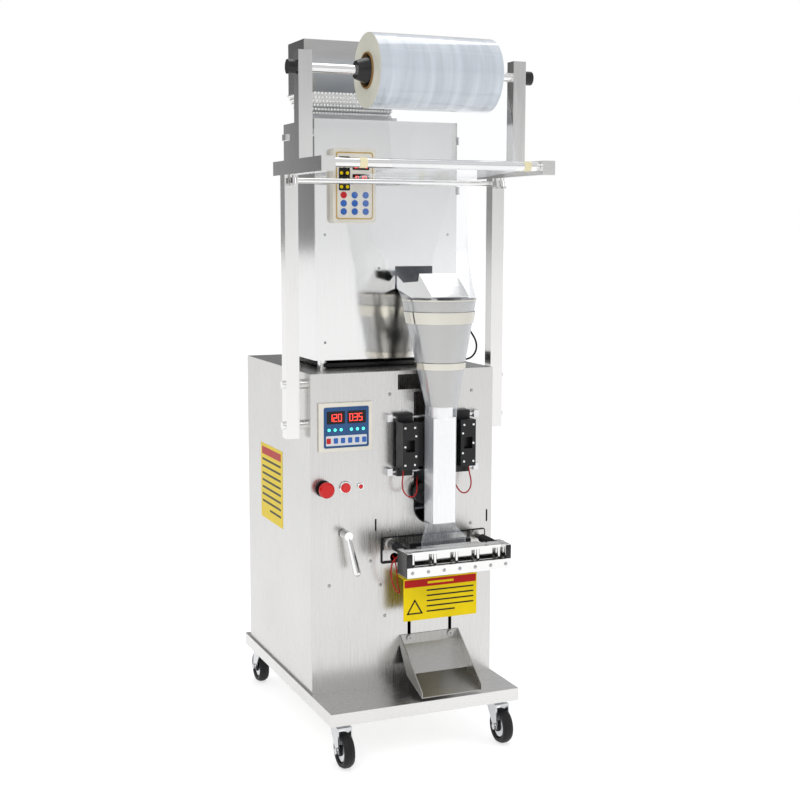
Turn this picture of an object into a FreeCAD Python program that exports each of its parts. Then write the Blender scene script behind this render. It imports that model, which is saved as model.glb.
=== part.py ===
# Vertical form fill sealer: a small bench-height packing machine on casters.
# Frame: millimetres, +Z up, origin on the floor under the middle of the machine, front towards -Y.
# Places are measured in the cabinet's own frame: x from its centre plane, y from the front face of
# its front panel (positive to the rear) and z from the top of the base tray.
import FreeCAD, Part
import Sketcher
import math
import os
import re
from FreeCAD import Placement, Rotation, Vector

SIZES = {
    # frame of reference
    "panel_y": -166, "deck_z": 126.5,
    # base tray and cabinet
    "tray_w": 450, "tray_front": -137, "tray_rear": 506, "tray_deep": 28, "tray_skin": 3,
    "beam_w": 75, "cab_w": 440, "cab_d": 477, "cab_tall": 716, "skin": 3,
    # casters
    "wheel_r": 39, "wheel_w": 26, "hub_r": 12, "axle_r": 4, "caster_x": 190, "caster_front": -92,
    "caster_rear": 461, "caster_trail": 30, "plate_side": 64, "plate_t": 3, "fork_t": 3, "fork_w": 34,
    # film frame: 30 mm square tube
    "tube_side": 30, "tube_wall": 2, "frame_in": 232.5, "post_y": 36, "post_foot": 572,
    "arm_z": 1142, "arm_front": -198, "arm_rear": 116, "mast_y": -61, "mast_top": 1392,
    "bolt_r": 5, "bolt_head_r": 9, "spacer_r": 11,
    # film roll and the two bars that the film runs over
    "shaft_y": -46, "shaft_z": 1358, "shaft_r": 10, "shaft_half": 264, "knob_r": 15, "knob_w": 18,
    "roll_left": -106, "roll_right": 177, "roll_r": 78.5, "core_r": 38, "core_bore": 35,
    "front_bar_y": -178, "front_bar_z": 1160, "front_bar_r": 10,
    "rear_bar_y": 54, "rear_bar_z": 1131, "rear_bar_r": 6,
    # weigher housing, hopper and the pieces inside
    "house_w": 346, "house_y": 100, "house_d": 215, "house_z": 735, "house_top": 1268, "thin": 2,
    "hop_left": -173, "hop_right": 52, "hop_y": 165, "hop_d": 111, "hop_waist": 1331, "hop_rim": 1447,
    "hop_foot": 1270, "outlet_x": -60, "outlet_y": 220, "outlet_half": 32,
    # bag line: the cone, the tube, the sealers and the wheels share one centre
    "bag_x": 66, "cone_y": -38, "cone_r": 82, "cone_z": 876, "neck_y": -57, "neck_r": 35,
    "neck_z": 641, "cone_t": 1.5, "tube_y": -53, "tube_r": 27, "tube_w": 54, "tube_front": -74,
    "tube_d": 46, "tube_foot": 380, "tube_t": 1.5,
    # jaws
    "jaw_x": 74, "jaw_z": 327, "rod_gap": 107, "rod_r": 6, "film_y": -72, "jaw_open": 16,
    "strip_half": 125, "crank_y": 110, "crank_r": 18, "crank_pin_r": 5, "crank_rest": 25,
    # vertical sealers and pull wheels
    "seal_z": 500, "seal_tall": 105, "seal_in": 52, "seal_w": 37, "seal_front": -48,
    "wheel_pull_r": 24, "pull_z": 440, "pull_gap": 0.8, "film_t": 1.4,
}

os.makedirs("parts", exist_ok=True)
doc = FreeCAD.newDocument("vertical_form_fill_sealer")
sheet = doc.addObject("Spreadsheet::Sheet", "Sizes")
for row, (alias, number) in enumerate(SIZES.items(), start=1):
    sheet.set(f"A{row}", alias)
    sheet.set(f"B{row}", str(number))
    sheet.setAlias(f"B{row}", alias)
doc.recompute()

FUNCTIONS = ("sin", "cos", "tan")
NODES = {}


def cells(text):
    """An expression in which each bare word is a cell of the sheet."""
    def name(match):
        word = match.group(0)
        return word if word in FUNCTIONS else f"Sizes.{word}"
    return re.sub(r"[a-z_][a-z_0-9]*", name, str(text))


def bind(thing, **sizes):
    for prop, text in sizes.items():
        thing.setExpression(prop, cells(text))


def place(thing, at, turn=None):
    """Put a thing at a point of the cabinet's frame; turn is (axis, degrees)."""
    if turn:
        thing.Placement = Placement(Vector(), Rotation(Vector(*turn[0]), turn[1]))
    x, y, z = at
    bind(thing, **{"Placement.Base.x": x, "Placement.Base.y": f"panel_y+({y})",
                   "Placement.Base.z": f"deck_z+({z})"})
    return thing


def block(name, size, at, turn=None):
    """A box with its low corner at a point."""
    thing = doc.addObject("Part::Box", name)
    bind(thing, Length=size[0], Width=size[1], Height=size[2])
    return place(thing, at, turn)


TURNS = {"x": ((0, 1, 0), 90), "y": ((1, 0, 0), -90), "z": None}


def rod(name, radius, length, at, axis="z"):
    """A cylinder that starts at a point and runs along +x, +y or +z."""
    thing = doc.addObject("Part::Cylinder", name)
    bind(thing, Radius=radius, Height=length)
    return place(thing, at, TURNS[axis])


def taper(name, radius_1, radius_2, length, at, axis="z"):
    thing = doc.addObject("Part::Cone", name)
    bind(thing, Radius1=radius_1, Radius2=radius_2, Height=length)
    return place(thing, at, TURNS[axis])


def less(name, base, *tools):
    """Base with the tools cut away."""
    tool = tools[0] if len(tools) == 1 else both(name + "_tools", *tools)
    thing = doc.addObject("Part::Cut", name)
    thing.Base, thing.Tool = base, tool
    return thing


def both(name, *things):
    """Things fused into one solid."""
    thing = doc.addObject("Part::MultiFuse", name)
    thing.Shapes = list(things)
    return thing


def node(name, *things):
    """The things are the separate solids of one node."""
    if len(things) == 1:
        thing = things[0]
    else:
        thing = doc.addObject("Part::Compound", name + "_set")
        thing.Links = list(things)
    thing.Label = name
    NODES[name] = thing
    return thing


def made(name, shape):
    """A shape made with Part's own functions, given in the cabinet's frame."""
    thing = doc.addObject("Part::Feature", name)
    thing.Shape = shape
    thing.Placement = Placement(Vector(0, SIZES["panel_y"], SIZES["deck_z"]), Rotation())
    return thing


def plane_of(body, role):
    return next(item for item in body.Origin.OriginFeatures if item.Role == role)


def new_body(name):
    body = doc.addObject("PartDesign::Body", name)
    body.Label = name
    return body


def sketch_on(body, role, name):
    sketch = body.newObject("Sketcher::SketchObject", name)
    sketch.AttachmentSupport = (plane_of(body, role), [""])
    sketch.MapMode = "FlatFace"
    return sketch


def rectangle(sketch, x_1, y_1, x_2, y_2):
    """A rectangle whose four sides are bound to cells, measured from the sketch's origin."""
    first = sketch.GeometryCount
    corners = [Vector(0, 0, 0), Vector(10, 0, 0), Vector(10, 10, 0), Vector(0, 10, 0)]
    for start, end in zip(corners, corners[1:] + corners[:1]):
        sketch.addGeometry(Part.LineSegment(start, end), False)
    for side in range(4):
        sketch.addConstraint(Sketcher.Constraint("Coincident", first + side, 2, first + (side + 1) % 4, 1))
    for side, kind in enumerate(("Horizontal", "Vertical", "Horizontal", "Vertical")):
        sketch.addConstraint(Sketcher.Constraint(kind, first + side))
    for side, point, kind, text in ((0, 1, "DistanceX", x_1), (0, 1, "DistanceY", y_1),
                                    (2, 1, "DistanceX", x_2), (2, 1, "DistanceY", y_2)):
        number = sketch.addConstraint(Sketcher.Constraint(kind, -1, 1, first + side, point, 5.0))
        sketch.setExpression(f"Constraints[{number}]", cells(text))


def turned(name, outline, at, axis):
    """A PartDesign body: a closed outline of (radius, along) points turned about its own axis."""
    body = new_body(name)
    sketch = sketch_on(body, "XZ_Plane", name + "_outline")
    points = [Vector(radius, along, 0) for radius, along in outline]
    for start, end in zip(points, points[1:] + points[:1]):
        sketch.addGeometry(Part.LineSegment(start, end), False)
    turn = body.newObject("PartDesign::Revolution", name + "_turn")
    turn.Profile = sketch
    turn.ReferenceAxis = (sketch, ["V_Axis"])
    turn.Angle = 360
    body.Tip = turn
    return place(body, at, TURNS[axis])


def frame_plate(name, outline_size, at, holes):
    """A PartDesign plate in the XZ plane, y thick, with rectangular or round windows pocketed through."""
    wide, thick, tall = outline_size
    body = new_body(name)
    outline = sketch_on(body, "XZ_Plane", name + "_outline")
    rectangle(outline, 0, 0, wide, tall)
    pad = body.newObject("PartDesign::Pad", name + "_pad")
    pad.Profile = outline
    bind(pad, Length=thick)
    pad.Reversed = True
    doc.recompute()
    for number, hole in enumerate(holes):
        cut = sketch_on(body, "XZ_Plane", f"{name}_window_{number}")
        if len(hole) == 3:
            x, z, radius = hole
            cut.addGeometry(Part.Circle(Vector(x, z, 0), Vector(0, 0, 1), radius), False)
        else:
            rectangle(cut, *hole)
        pocket = body.newObject("PartDesign::Pocket", f"{name}_cut_{number}")
        pocket.Profile = cut
        pocket.Type = "ThroughAll"
        pocket.Midplane = True
    return place(body, at)


# ---------------------------------------------------------------- base, cabinet and panels
def base_tray():
    """A folded tray with a box beam down each side, which the casters are bolted under."""
    outer = block("tray_outer", ("tray_w", "tray_rear-tray_front", "tray_deep"),
                  ("-tray_w/2", "tray_front", "-tray_deep"))
    under = block("tray_under", ("tray_w-2*beam_w", "tray_rear-tray_front-2*tray_skin", "tray_deep"),
                  ("beam_w-tray_w/2", "tray_front+tray_skin", "-tray_deep-tray_skin"))
    cores = [block(f"beam_core_{side}", ("beam_w-2*tray_skin", "tray_rear-tray_front",
                                         "tray_deep-2*tray_skin"),
                   (x, "tray_front+tray_skin", "tray_skin-tray_deep"))
             for side, x in enumerate(("tray_skin-tray_w/2", "tray_w/2-beam_w+tray_skin"))]
    node("base_tray", less("tray_body", outer, under, *cores))


BOLT_ZS = (600, 690)
TALL_HALF = 42
CABINET_HINGE_ZS = (120, 560)
WEIGHER_HINGE_ZS = (800, 1140)


def lift_off_hinge(name, x, y, z, side_x, wall_y):
    """A pin that stands on an ear of the box's side, and the bored barrel and leaf that drop over it."""
    pin = rod(f"{name}_pin", 3, 44, (x, y, z))
    ear = block(f"{name}_ear", (f"{x}+5.5-({side_x}-0.2)", 10, 12), (f"{side_x}-0.2", f"{y}-5", f"{z}-12"))
    barrel = rod(f"{name}_barrel", 5.5, 40, (x, y, f"{z}+1"))
    leaf = block(f"{name}_leaf", (f"{x}-({side_x})+10", 2.6, 40), (f"{side_x}-10", wall_y, f"{z}+1"))
    bore = rod(f"{name}_bore", 3.05, 44, (x, y, f"{z}-1"))
    return [pin, ear], less(f"{name}_knuckle", both(f"{name}_moving", barrel, leaf), bore)


HINGES = {}


def cabinet_shell():
    """Sides, top and floor folded from one sheet; the front and the rear are open."""
    outer = block("cabinet_outer", ("cab_w", "cab_d-2*skin-0.6", "cab_tall"), ("-cab_w/2", "skin+0.3", 0))
    inner = block("cabinet_inner", ("cab_w-2*skin", "cab_d", "cab_tall-2*skin"),
                  ("skin-cab_w/2", 0, "skin"))
    holes = [rod(f"cabinet_bolt_hole_{z}", "bolt_r+0.2", "cab_w+20", ("-cab_w/2-10", "post_y+tube_side/2",
                                                                      z), "x")
             for z in BOLT_ZS]
    grommet = rod("cabinet_grommet_hole", 9, 20, (154, 62, "cab_tall-10"))
    shell = less("cabinet_sheet", outer, inner, grommet, *holes)
    gland = less("mains_gland", rod("gland_body", 11, 16, ("cab_w/2+0.2", 400, 60), "x"),
                 rod("gland_bore", 4.5, 20, ("cab_w/2-2", 400, 60), "x"))
    fixed = []
    for z in CABINET_HINGE_ZS:
        hinge, HINGES[z] = lift_off_hinge(f"rear_hinge_{z}", "cab_w/2+6.5", "cab_d-5", z, "cab_w/2",
                                          "cab_d-0.2")
        fixed += hinge
    node("cabinet_shell", both("cabinet_folded", shell, *fixed), gland)


def front_panel():
    """The front plate with its windows: jaws, sealers, switches, chute slots and guard slots."""
    half = SIZES["cab_w"] / 2
    chute_slots = [(half + x - 4, 100, half + x + 4, 252) for x in (14, 116)]
    guard_slots = [(half + x - 2, 358, half + x + 2, 386) for x in (-68, 208)]
    windows = [(half - 54, 284, half + 202, 341), (half - 188, 558, half - 94, 640),
               (half - 15, 674, half + 40, 708)]
    centre = half + SIZES["bag_x"]
    tall = [(centre - TALL_HALF, 407, centre + TALL_HALF, 668), (centre, 407, TALL_HALF)]
    rounds = [(half - 192, 464, 11), (half - 140.5, 462.5, 11), (half - 104.8, 462.8, 6),
              (half - 145.5, 360, 7)]
    node("front_panel", frame_plate("front_plate", ("cab_w", "skin", "cab_tall"), ("-cab_w/2", 0, 0),
                                    chute_slots + guard_slots + windows + tall + rounds))


def rear_door():
    """The rear cover hangs on two lift-off pins and swings out."""
    plate = block("door_plate", ("cab_w-4", "skin", "cab_tall-6"), ("2-cab_w/2", "cab_d-skin", 3))
    vents = [block(f"door_vent_{number}", (180, 10, 5),
                   (-90, "cab_d-6", 470 + 18 * number)) for number in range(7)]
    knuckles = [HINGES[z] for z in CABINET_HINGE_ZS]
    handle = block("door_handle", (14, 22, 90), ("-cab_w/2+26", "cab_d-1", 330))
    grip = block("door_handle_gap", (20, 12, 66), ("-cab_w/2+23", "cab_d+0.5", 342))
    node("cabinet_rear_door", both("door_whole", less("door_vented", plate, *vents),
                                   less("door_pull", handle, grip),
                           *knuckles))


# ---------------------------------------------------------------- casters
CORNERS = {"front_left": (-1, -1), "front_right": (1, -1), "rear_left": (-1, 1), "rear_right": (1, 1)}


def casters():
    """Four swivel casters; each fork carries its wheel behind its swivel, which points outwards here."""
    plates = []
    for corner, (across, along) in CORNERS.items():
        x = f"{across}*caster_x"
        y = "caster_rear" if along > 0 else "caster_front"
        wheel_y = f"{y}+({along}*caster_trail)"
        hub_z = "wheel_r-deck_z"
        plates.append(both(
            f"{corner}_plate_set",
            block(f"{corner}_plate", ("plate_side", "plate_side", "plate_t"),
                  (f"{x}-plate_side/2", f"{y}-plate_side/2", "-tray_deep-plate_t")),
            rod(f"{corner}_race", 22, 6, (x, y, "-tray_deep-plate_t-6"))))
        crown = block(f"{corner}_crown", ("fork_w", "52", "fork_t"),
                      (f"{x}-fork_w/2", f"{y}+({along}*8)-26", "-tray_deep-plate_t-6.4-fork_t"))
        cheeks = []
        for side in (-1, 1):
            low = "fork_w/2-fork_t" if side > 0 else "-fork_w/2"
            outline = [(along * -18, -40), (along * 34, -40), (along * 40, -92), (along * 22, -92)]
            cheeks.append(cheek(f"{corner}_cheek_{side}", x, y, low, outline))
        axle = rod(f"{corner}_axle", "axle_r", "fork_w", (f"{x}-fork_w/2", wheel_y, hub_z), "x")
        nuts = [rod(f"{corner}_nut_{side}", 7, 4, (f"{x}+({side}*(fork_w/2+2))-2", wheel_y, hub_z), "x")
                for side in (-1, 1)]
        node(f"{corner}_caster_fork", both(f"{corner}_fork_body", crown, axle, *cheeks, *nuts))
        node(f"{corner}_caster_wheel", caster_wheel(corner, x, wheel_y, hub_z))
    node("caster_plates", *plates)


def cheek(name, x, y, low, outline):
    """One side plate of a fork, its outline in (y, z) from the swivel's axis."""
    points = [Vector(0, along, up) for along, up in outline]
    face = Part.Face(Part.makePolygon(points + points[:1]))
    side = doc.addObject("Part::Feature", name + "_face")
    side.Shape = face
    plate = doc.addObject("Part::Extrusion", name)
    plate.Base = side
    plate.Dir = Vector(1, 0, 0)
    plate.Solid = True
    bind(plate, LengthFwd="fork_t")
    return place(plate, (f"{x}+{low}", y, 0))


def caster_wheel(corner, x, y, z):
    """A turned wheel: rounded tread, thin web and a hub that runs on the axle."""
    rim, wide, hub, bore = SIZES["wheel_r"], SIZES["wheel_w"] / 2, SIZES["hub_r"], SIZES["axle_r"] + 0.06
    outline = [(bore, -wide), (hub, -wide), (hub, -5), (rim - 13, -5), (rim - 11, -11), (rim - 4, -wide + 1),
               (rim - 1, -7), (rim, -4), (rim, 4), (rim - 1, 7), (rim - 4, wide - 1), (rim - 11, 11),
               (rim - 13, 5), (hub, 5), (hub, wide), (bore, wide)]
    return turned(f"{corner}_wheel", outline, (x, y, z), "x")


# ---------------------------------------------------------------- film frame
def film_frame():
    """Square tube posts bolted to the cabinet's sides, arms on them and masts on the arms."""
    posts, arms, bolts = [], [], []
    for side, name in ((-1, "left"), (1, "right")):
        x = "frame_in" if side > 0 else "-frame_in-tube_side"
        bores = [rod(f"{name}_post_hole_{z}", "bolt_r+0.2", 60, (f"{x}-10", "post_y+tube_side/2", z), "x")
                 for z in BOLT_ZS]
        inner = f"{side}*(frame_in+tube_wall/2)-tube_wall"
        seats = {bar: rod(f"{name}_{bar}_seat", f"{bar}_bar_r-2.94", "2*tube_wall",
                          (inner, f"{bar}_bar_y", f"{bar}_bar_z"), "x") for bar in ("front", "rear")}
        bores.append(seats["rear"])
        posts.append(less(f"{name}_post", square_tube(f"{name}_lower", x, "post_y", "post_foot",
                                                      "arm_z-post_foot"),
                          *bores))
        mast = square_tube(f"{name}_upper", x, "mast_y", "arm_z+tube_side", "mast_top-arm_z-tube_side-2")
        cap = block(f"{name}_mast_cap", ("tube_side", "tube_side", 2), (x, "mast_y", "mast_top-2"))
        bearing = rod(f"{name}_bearing_hole", "shaft_r+0.06", 60, (f"{x}-10", "shaft_y", "shaft_z"), "x")
        posts.append(less(f"{name}_mast", both(f"{name}_mast_whole", mast, cap), bearing))
        arm = block(f"{name}_arm_outer", ("tube_side", "arm_rear-arm_front", "tube_side"),
                    (x, "arm_front", "arm_z"))
        core = block(f"{name}_arm_core", ("tube_side-2*tube_wall", "arm_rear-arm_front",
                                          "tube_side-2*tube_wall"),
                     (f"{x}+tube_wall", "arm_front+tube_wall", "arm_z+tube_wall"))
        arms.append(less(f"{name}_arm", arm, core, seats["front"]))
        bolts += wing_knob(name, x)
        for z in BOLT_ZS:
            bolts += bolt_and_spacer(f"{name}_bolt_{z}", side, z)
    node("frame_posts", *posts)
    node("frame_arms", *arms)
    node("frame_bolts", *bolts)


def square_tube(name, x, y, z, length):
    outer = block(name + "_outer", ("tube_side", "tube_side", length), (x, y, z))
    core = block(name + "_core", ("tube_side-2*tube_wall", "tube_side-2*tube_wall", f"{length}+2"),
                 (f"{x}+tube_wall", f"{y}+tube_wall", f"{z}-1"))
    return less(name + "_tube", outer, core)


def wing_knob(name, x):
    """The black knob that clamps an arm to its post from below."""
    grip = rod(f"{name}_wing_grip", 7, 12, (f"{x}+tube_side/2", "post_y-16", "arm_z-18"))
    bar = block(f"{name}_wing_bar", (8, 30, 5), (f"{x}+tube_side/2-4", "post_y-31", "arm_z-23"))
    stud = rod(f"{name}_wing_stud", 3, 8, (f"{x}+tube_side/2", "post_y-16", "arm_z-8"))
    return [both(f"{name}_wing_knob", grip, bar, stud)]


def bolt_and_spacer(name, side, z):
    """A side bolt through the post, with the spacer that holds the post off the cabinet."""
    y = "post_y+tube_side/2"
    reach = "frame_in+tube_side-cab_w/2+skin+6"
    start = "cab_w/2-skin-6" if side > 0 else "-frame_in-tube_side"
    head = "frame_in+tube_side" if side > 0 else "-frame_in-tube_side-6"
    bolt = both(name, rod(name + "_shank", "bolt_r", reach, (start, y, z), "x"),
                rod(name + "_head", "bolt_head_r", 6, (head, y, z), "x"))
    low = "cab_w/2" if side > 0 else "-frame_in"
    spacer = less(name + "_spacer", rod(name + "_spacer_body", "spacer_r", "frame_in-cab_w/2",
                                        (low, y, z), "x"),
                  rod(name + "_spacer_bore", "bolt_r+0.2", 20, (f"{low}-2", y, z), "x"))
    return bolt, spacer


def film_bars():
    """Two polished bars that turn on stub axles: the front one in the arms, the rear one in the posts."""
    for bar in ("front", "rear"):
        body = rod(f"{bar}_bar_body", f"{bar}_bar_r", "2*frame_in-0.8",
                   ("0.4-frame_in", f"{bar}_bar_y", f"{bar}_bar_z"), "x")
        stubs = [rod(f"{bar}_bar_stub_{side}", f"{bar}_bar_r-3", "tube_wall+2",
                     (f"{side}*(frame_in+tube_wall/2-0.6)-tube_wall/2-1", f"{bar}_bar_y",
                      f"{bar}_bar_z"), "x")
                 for side in (-1, 1)]
        node(f"{bar}_film_bar", both(f"{bar}_bar_whole", body, *stubs))


def film_roll():
    """The reel: a shaft through the masts, black end knobs, centring cones, paper core and film."""
    line = ("shaft_y", "shaft_z")
    node("roll_shaft", rod("reel_shaft", "shaft_r", "2*shaft_half+12", ("-shaft_half-6", *line), "x"))
    pieces = []
    for side in (-1, 1):
        end = "shaft_half" if side > 0 else "-shaft_half-knob_w"
        knob = rod(f"reel_knob_{side}", "knob_r", "knob_w", (end, *line), "x")
        socket = rod(f"reel_knob_socket_{side}", "shaft_r+0.05", 14, (f"{side}*shaft_half-7", *line), "x")
        pieces.append(less(f"reel_knob_bored_{side}", knob, socket))
        mouth = "roll_right-14" if side > 0 else "roll_left-26"
        radii = ("core_bore-6", "core_bore-1") if side < 0 else ("core_bore-1", "core_bore-6")
        wide, narrow = (radii[0], radii[1]) if side > 0 else (radii[1], radii[0])
        cone = taper(f"reel_cone_{side}", narrow if side > 0 else "core_bore-16",
                     "core_bore-16" if side > 0 else wide,
                     40, (mouth, *line), "x")
        bore = rod(f"reel_cone_bore_{side}", "shaft_r+0.05", 60, (f"{mouth}-8", *line), "x")
        pieces.append(less(f"reel_cone_bored_{side}", cone, bore))
    node("roll_collars", *pieces)
    length = "roll_right-roll_left"
    node("paper_core", less("core_tube", rod("core_outer", "core_r", f"{length}+6",
                                             ("roll_left-3", *line), "x"),
                            rod("core_inner", "core_bore", f"{length}+20", ("roll_left-10", *line), "x")))
    node("film_roll", less("film_wound", rod("film_outer", "roll_r", length, ("roll_left", *line), "x"),
                           rod("film_inner", "core_r+0.2", f"{length}+20", ("roll_left-10", *line), "x")))


# ---------------------------------------------------------------- weigher
def weigher_housing():
    """A folded box on four feet with a shelf inside; its front cover and rear door close large openings."""
    x, y, z = "-house_w/2", "house_y", "house_z"
    outer = block("house_outer", ("house_w", "house_d", "house_top-house_z"), (x, y, z))
    inner = block("house_inner", ("house_w-2*thin", "house_d-2*thin", "house_top-house_z-2*thin"),
                  (f"{x}+thin", f"{y}+thin", f"{z}+thin"))
    front = block("house_front_opening", ("house_w-30", 20, 240), (f"{x}+15", f"{y}-10", 1008))
    rear = block("house_rear_opening", ("house_w-30", 20, "house_top-house_z-50"),
                 (f"{x}+15", f"{y}+house_d-10", f"{z}+25"))
    spout = block("house_spout_hole", (93, 20, 58), ("bag_x-46.5", f"{y}-10", 886))
    outlet = block("house_outlet_hole", ("2*outlet_half+2", "2*outlet_half+2", 20),
                   ("outlet_x-outlet_half-1", "outlet_y-outlet_half-1", "house_top-10"))
    wires = rod("house_cable_hole", 5, 20, (140, f"{y}-10", 845), "y")
    shelf = block("house_shelf", (191, "house_d-thin", 4), (f"{x}+1", f"{y}+1", 1092))
    feet = [rod(f"house_foot_{sx}_{sy}", 11, "house_z-cab_tall", (f"{sx}*(house_w/2-25)", sy, "cab_tall"))
            for sx in (-1, 1) for sy in (125, 290)]
    latches = [block(f"house_latch_{ly}", (5, 26, 14), (f"{x}-5", ly, 1231)) for ly in (104, 285)]
    fixed = []
    for hinge_z in WEIGHER_HINGE_ZS:
        hinge, HINGES[hinge_z] = lift_off_hinge(f"weigher_hinge_{hinge_z}", "house_w/2+6.5",
                                                "house_y+house_d-3", hinge_z, "house_w/2",
                                                "house_y+house_d+0.2")
        fixed += hinge
    shell = less("house_box", outer, inner, front, rear, spout, outlet, wires)
    node("weigher_housing", both("house_on_feet", shell, shelf, *feet, *latches, *fixed))


def weigher_covers():
    """The front cover, shut in behind the film bars, and the rear door on lift-off hinges."""
    plate = block("cover_plate", ("house_w-2", "thin", 270), ("1-house_w/2", "house_y-thin", 992))
    barrels = [rod(f"cover_barrel_{z}", 3.5, 18, ("house_w/2+1", "house_y-thin-2.2", z)) for z in (1106,
                                                                                                   1218)]
    keeper = block("cover_keeper", (5, 6, 10), ("-house_w/2-3", "house_y-6", 1233))
    node("weigher_front_cover", both("cover_whole", plate, keeper, *barrels))
    door = block("weigher_door_plate", ("house_w-6", "thin", "house_top-house_z-8"),
                 ("3-house_w/2", "house_y+house_d+0.4", "house_z+4"))
    pull = block("weigher_door_pull", (10, 16, 60), ("-house_w/2+16", "house_y+house_d+1", 980))
    node("weigher_rear_door", both("weigher_door_whole", door, pull, *[HINGES[z] for z in WEIGHER_HINGE_ZS]))


def weigher_controller():
    """A flat rounded keypad housing on the front of the weigher."""
    shell = block("keypad_shell", (102, 20, 163), (-138, 78, 1041))
    rounded = doc.addObject("Part::Fillet", "keypad_rounded")
    rounded.Base = shell
    doc.recompute()
    rounded.Edges = [(number, 9.0, 9.0) for number in edges_along(shell, Vector(0, 1, 0))]
    node("weigher_controller", rounded)


def edges_along(thing, direction):
    """The numbers of a thing's straight edges that run along a direction."""
    found = []
    for number, edge in enumerate(thing.Shape.Edges, start=1):
        if abs(abs(edge.tangentAt(edge.FirstParameter).dot(direction)) - 1) < 1e-6:
            found.append(number)
    return found


def rectangle_at(x_1, y_1, x_2, y_2, z):
    corners = [Vector(x_1, y_1, z), Vector(x_2, y_1, z), Vector(x_2, y_2, z), Vector(x_1, y_2, z)]
    return Part.makePolygon(corners + corners[:1])


def supply_hopper():
    """An open sheet hopper: upright walls, then a taper down to a square outlet with a gate slot."""
    size = SIZES
    out = [size["outlet_x"] - size["outlet_half"], size["outlet_y"] - size["outlet_half"],
           size["outlet_x"] + size["outlet_half"], size["outlet_y"] + size["outlet_half"]]
    rim = [size["hop_left"], size["hop_y"], size["hop_right"], size["hop_y"] + size["hop_d"]]
    foot = [size["hop_left"] + 21, size["hop_y"] + 14, size["hop_right"] - 14,
            size["hop_y"] + size["hop_d"] - 10]

    def skins(inset):
        def ring(box, z):
            return rectangle_at(box[0] + inset, box[1] + inset, box[2] - inset, box[3] - inset, z)
        upper = Part.makeLoft([ring(rim, size["hop_waist"]), ring(rim, size["hop_rim"])], True, True)
        lower = Part.makeLoft([ring(foot, size["hop_foot"] + 14), ring(rim, size["hop_waist"])], True, True)
        pan = Part.makeLoft([ring(foot, size["hop_foot"] + 1), ring(foot, size["hop_foot"] + 14)], True, True)
        return upper.fuse(lower).fuse(pan)

    hollow = skins(2).copy()
    hollow.translate(Vector(0, 0, 2))
    mouth = Part.makeBox(2 * 28, 2 * 28, 40, Vector(size["outlet_x"] - 28, size["outlet_y"] - 28,
                                                   size["hop_foot"] - 20))
    lip = Part.makeBox(300, 200, 30, Vector(-200, 150, size["hop_rim"] - 1))
    gate_slot = Part.makeBox(140, 63, 3.4, Vector(-94, size["outlet_y"] - 31.5, size["hop_foot"] + 5))
    neck = Part.makeBox(2 * 30, 2 * 30, 34, Vector(size["outlet_x"] - 30, size["outlet_y"] - 30,
                                                  size["hop_foot"] - 33))
    shell = skins(0).fuse(neck).cut(hollow).cut(mouth.fuse(lip))
    throat = Part.makeBox(2 * 28, 2 * 28, 60, Vector(size["outlet_x"] - 28, size["outlet_y"] - 28,
                                                    size["hop_foot"] - 40))
    node("supply_hopper", made("hopper_sheet", shell.cut(throat).cut(gate_slot).removeSplitter()))
    gate = block("gate_plate", (140, 62, 2.4), (-94, "outlet_y-31", "hop_foot+5.5"))
    stem = rod("gate_stem", 3, 14, (45, "outlet_y", "hop_foot+6.7"), "x")
    knob = rod("gate_knob", 9, 12, (58, "outlet_y", "hop_foot+9.7"), "x")
    node("hopper_gate", both("gate_whole", gate, stem, knob))


def weigher_inside():
    """What the weigher holds: a shaken feed trough, its coil, a load cell and the weigh bucket."""
    trough = less("trough_body", block("trough_outer", (160, 80, 40), (-100, 180, 1170)),
                  block("trough_inner", (180, 76, 50), (-98, 182, 1172)))
    springs = [block(f"trough_spring_{x}", (3, 60, 60), (x, 190, 1110.3)) for x in (-80, 10)]
    node("vibrating_trough", both("trough_whole", trough, *springs))
    node("vibrator_coil", both("coil_block", block("coil_base", (112, 74, 14), (-95, 183, 1096)),
                               block("coil_core", (40, 50, 40), (-55, 195, 1110))))
    node("load_cell", both("load_whole", block("load_beam", (30, 110, 28), (51, 170, 1134)),
                           block("load_bracket", (91, 26, 12), (80, 250, 1142))))
    outer = block("bucket_outer", (84, 90, 90), (24, 190, 1030))
    inner = block("bucket_inner", (80, 86, 120), (26, 192, 1020))
    hanger = block("bucket_hanger", (20, 20, 16), (56, 175, 1118))
    bar = block("bucket_bar", (20, 109, 4), (56, 173, 1116))
    node("weigh_bucket", both("bucket_whole", less("bucket_shell", outer, inner), hanger, bar))
    flap = block("gate_flap", (78, 86, 2), (27, 192, 1025.4))
    pivot = rod("gate_pivot", 3, 78, (27, 279, 1026.4), "x")
    node("bucket_gate", both("flap_whole", flap, pivot))


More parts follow.
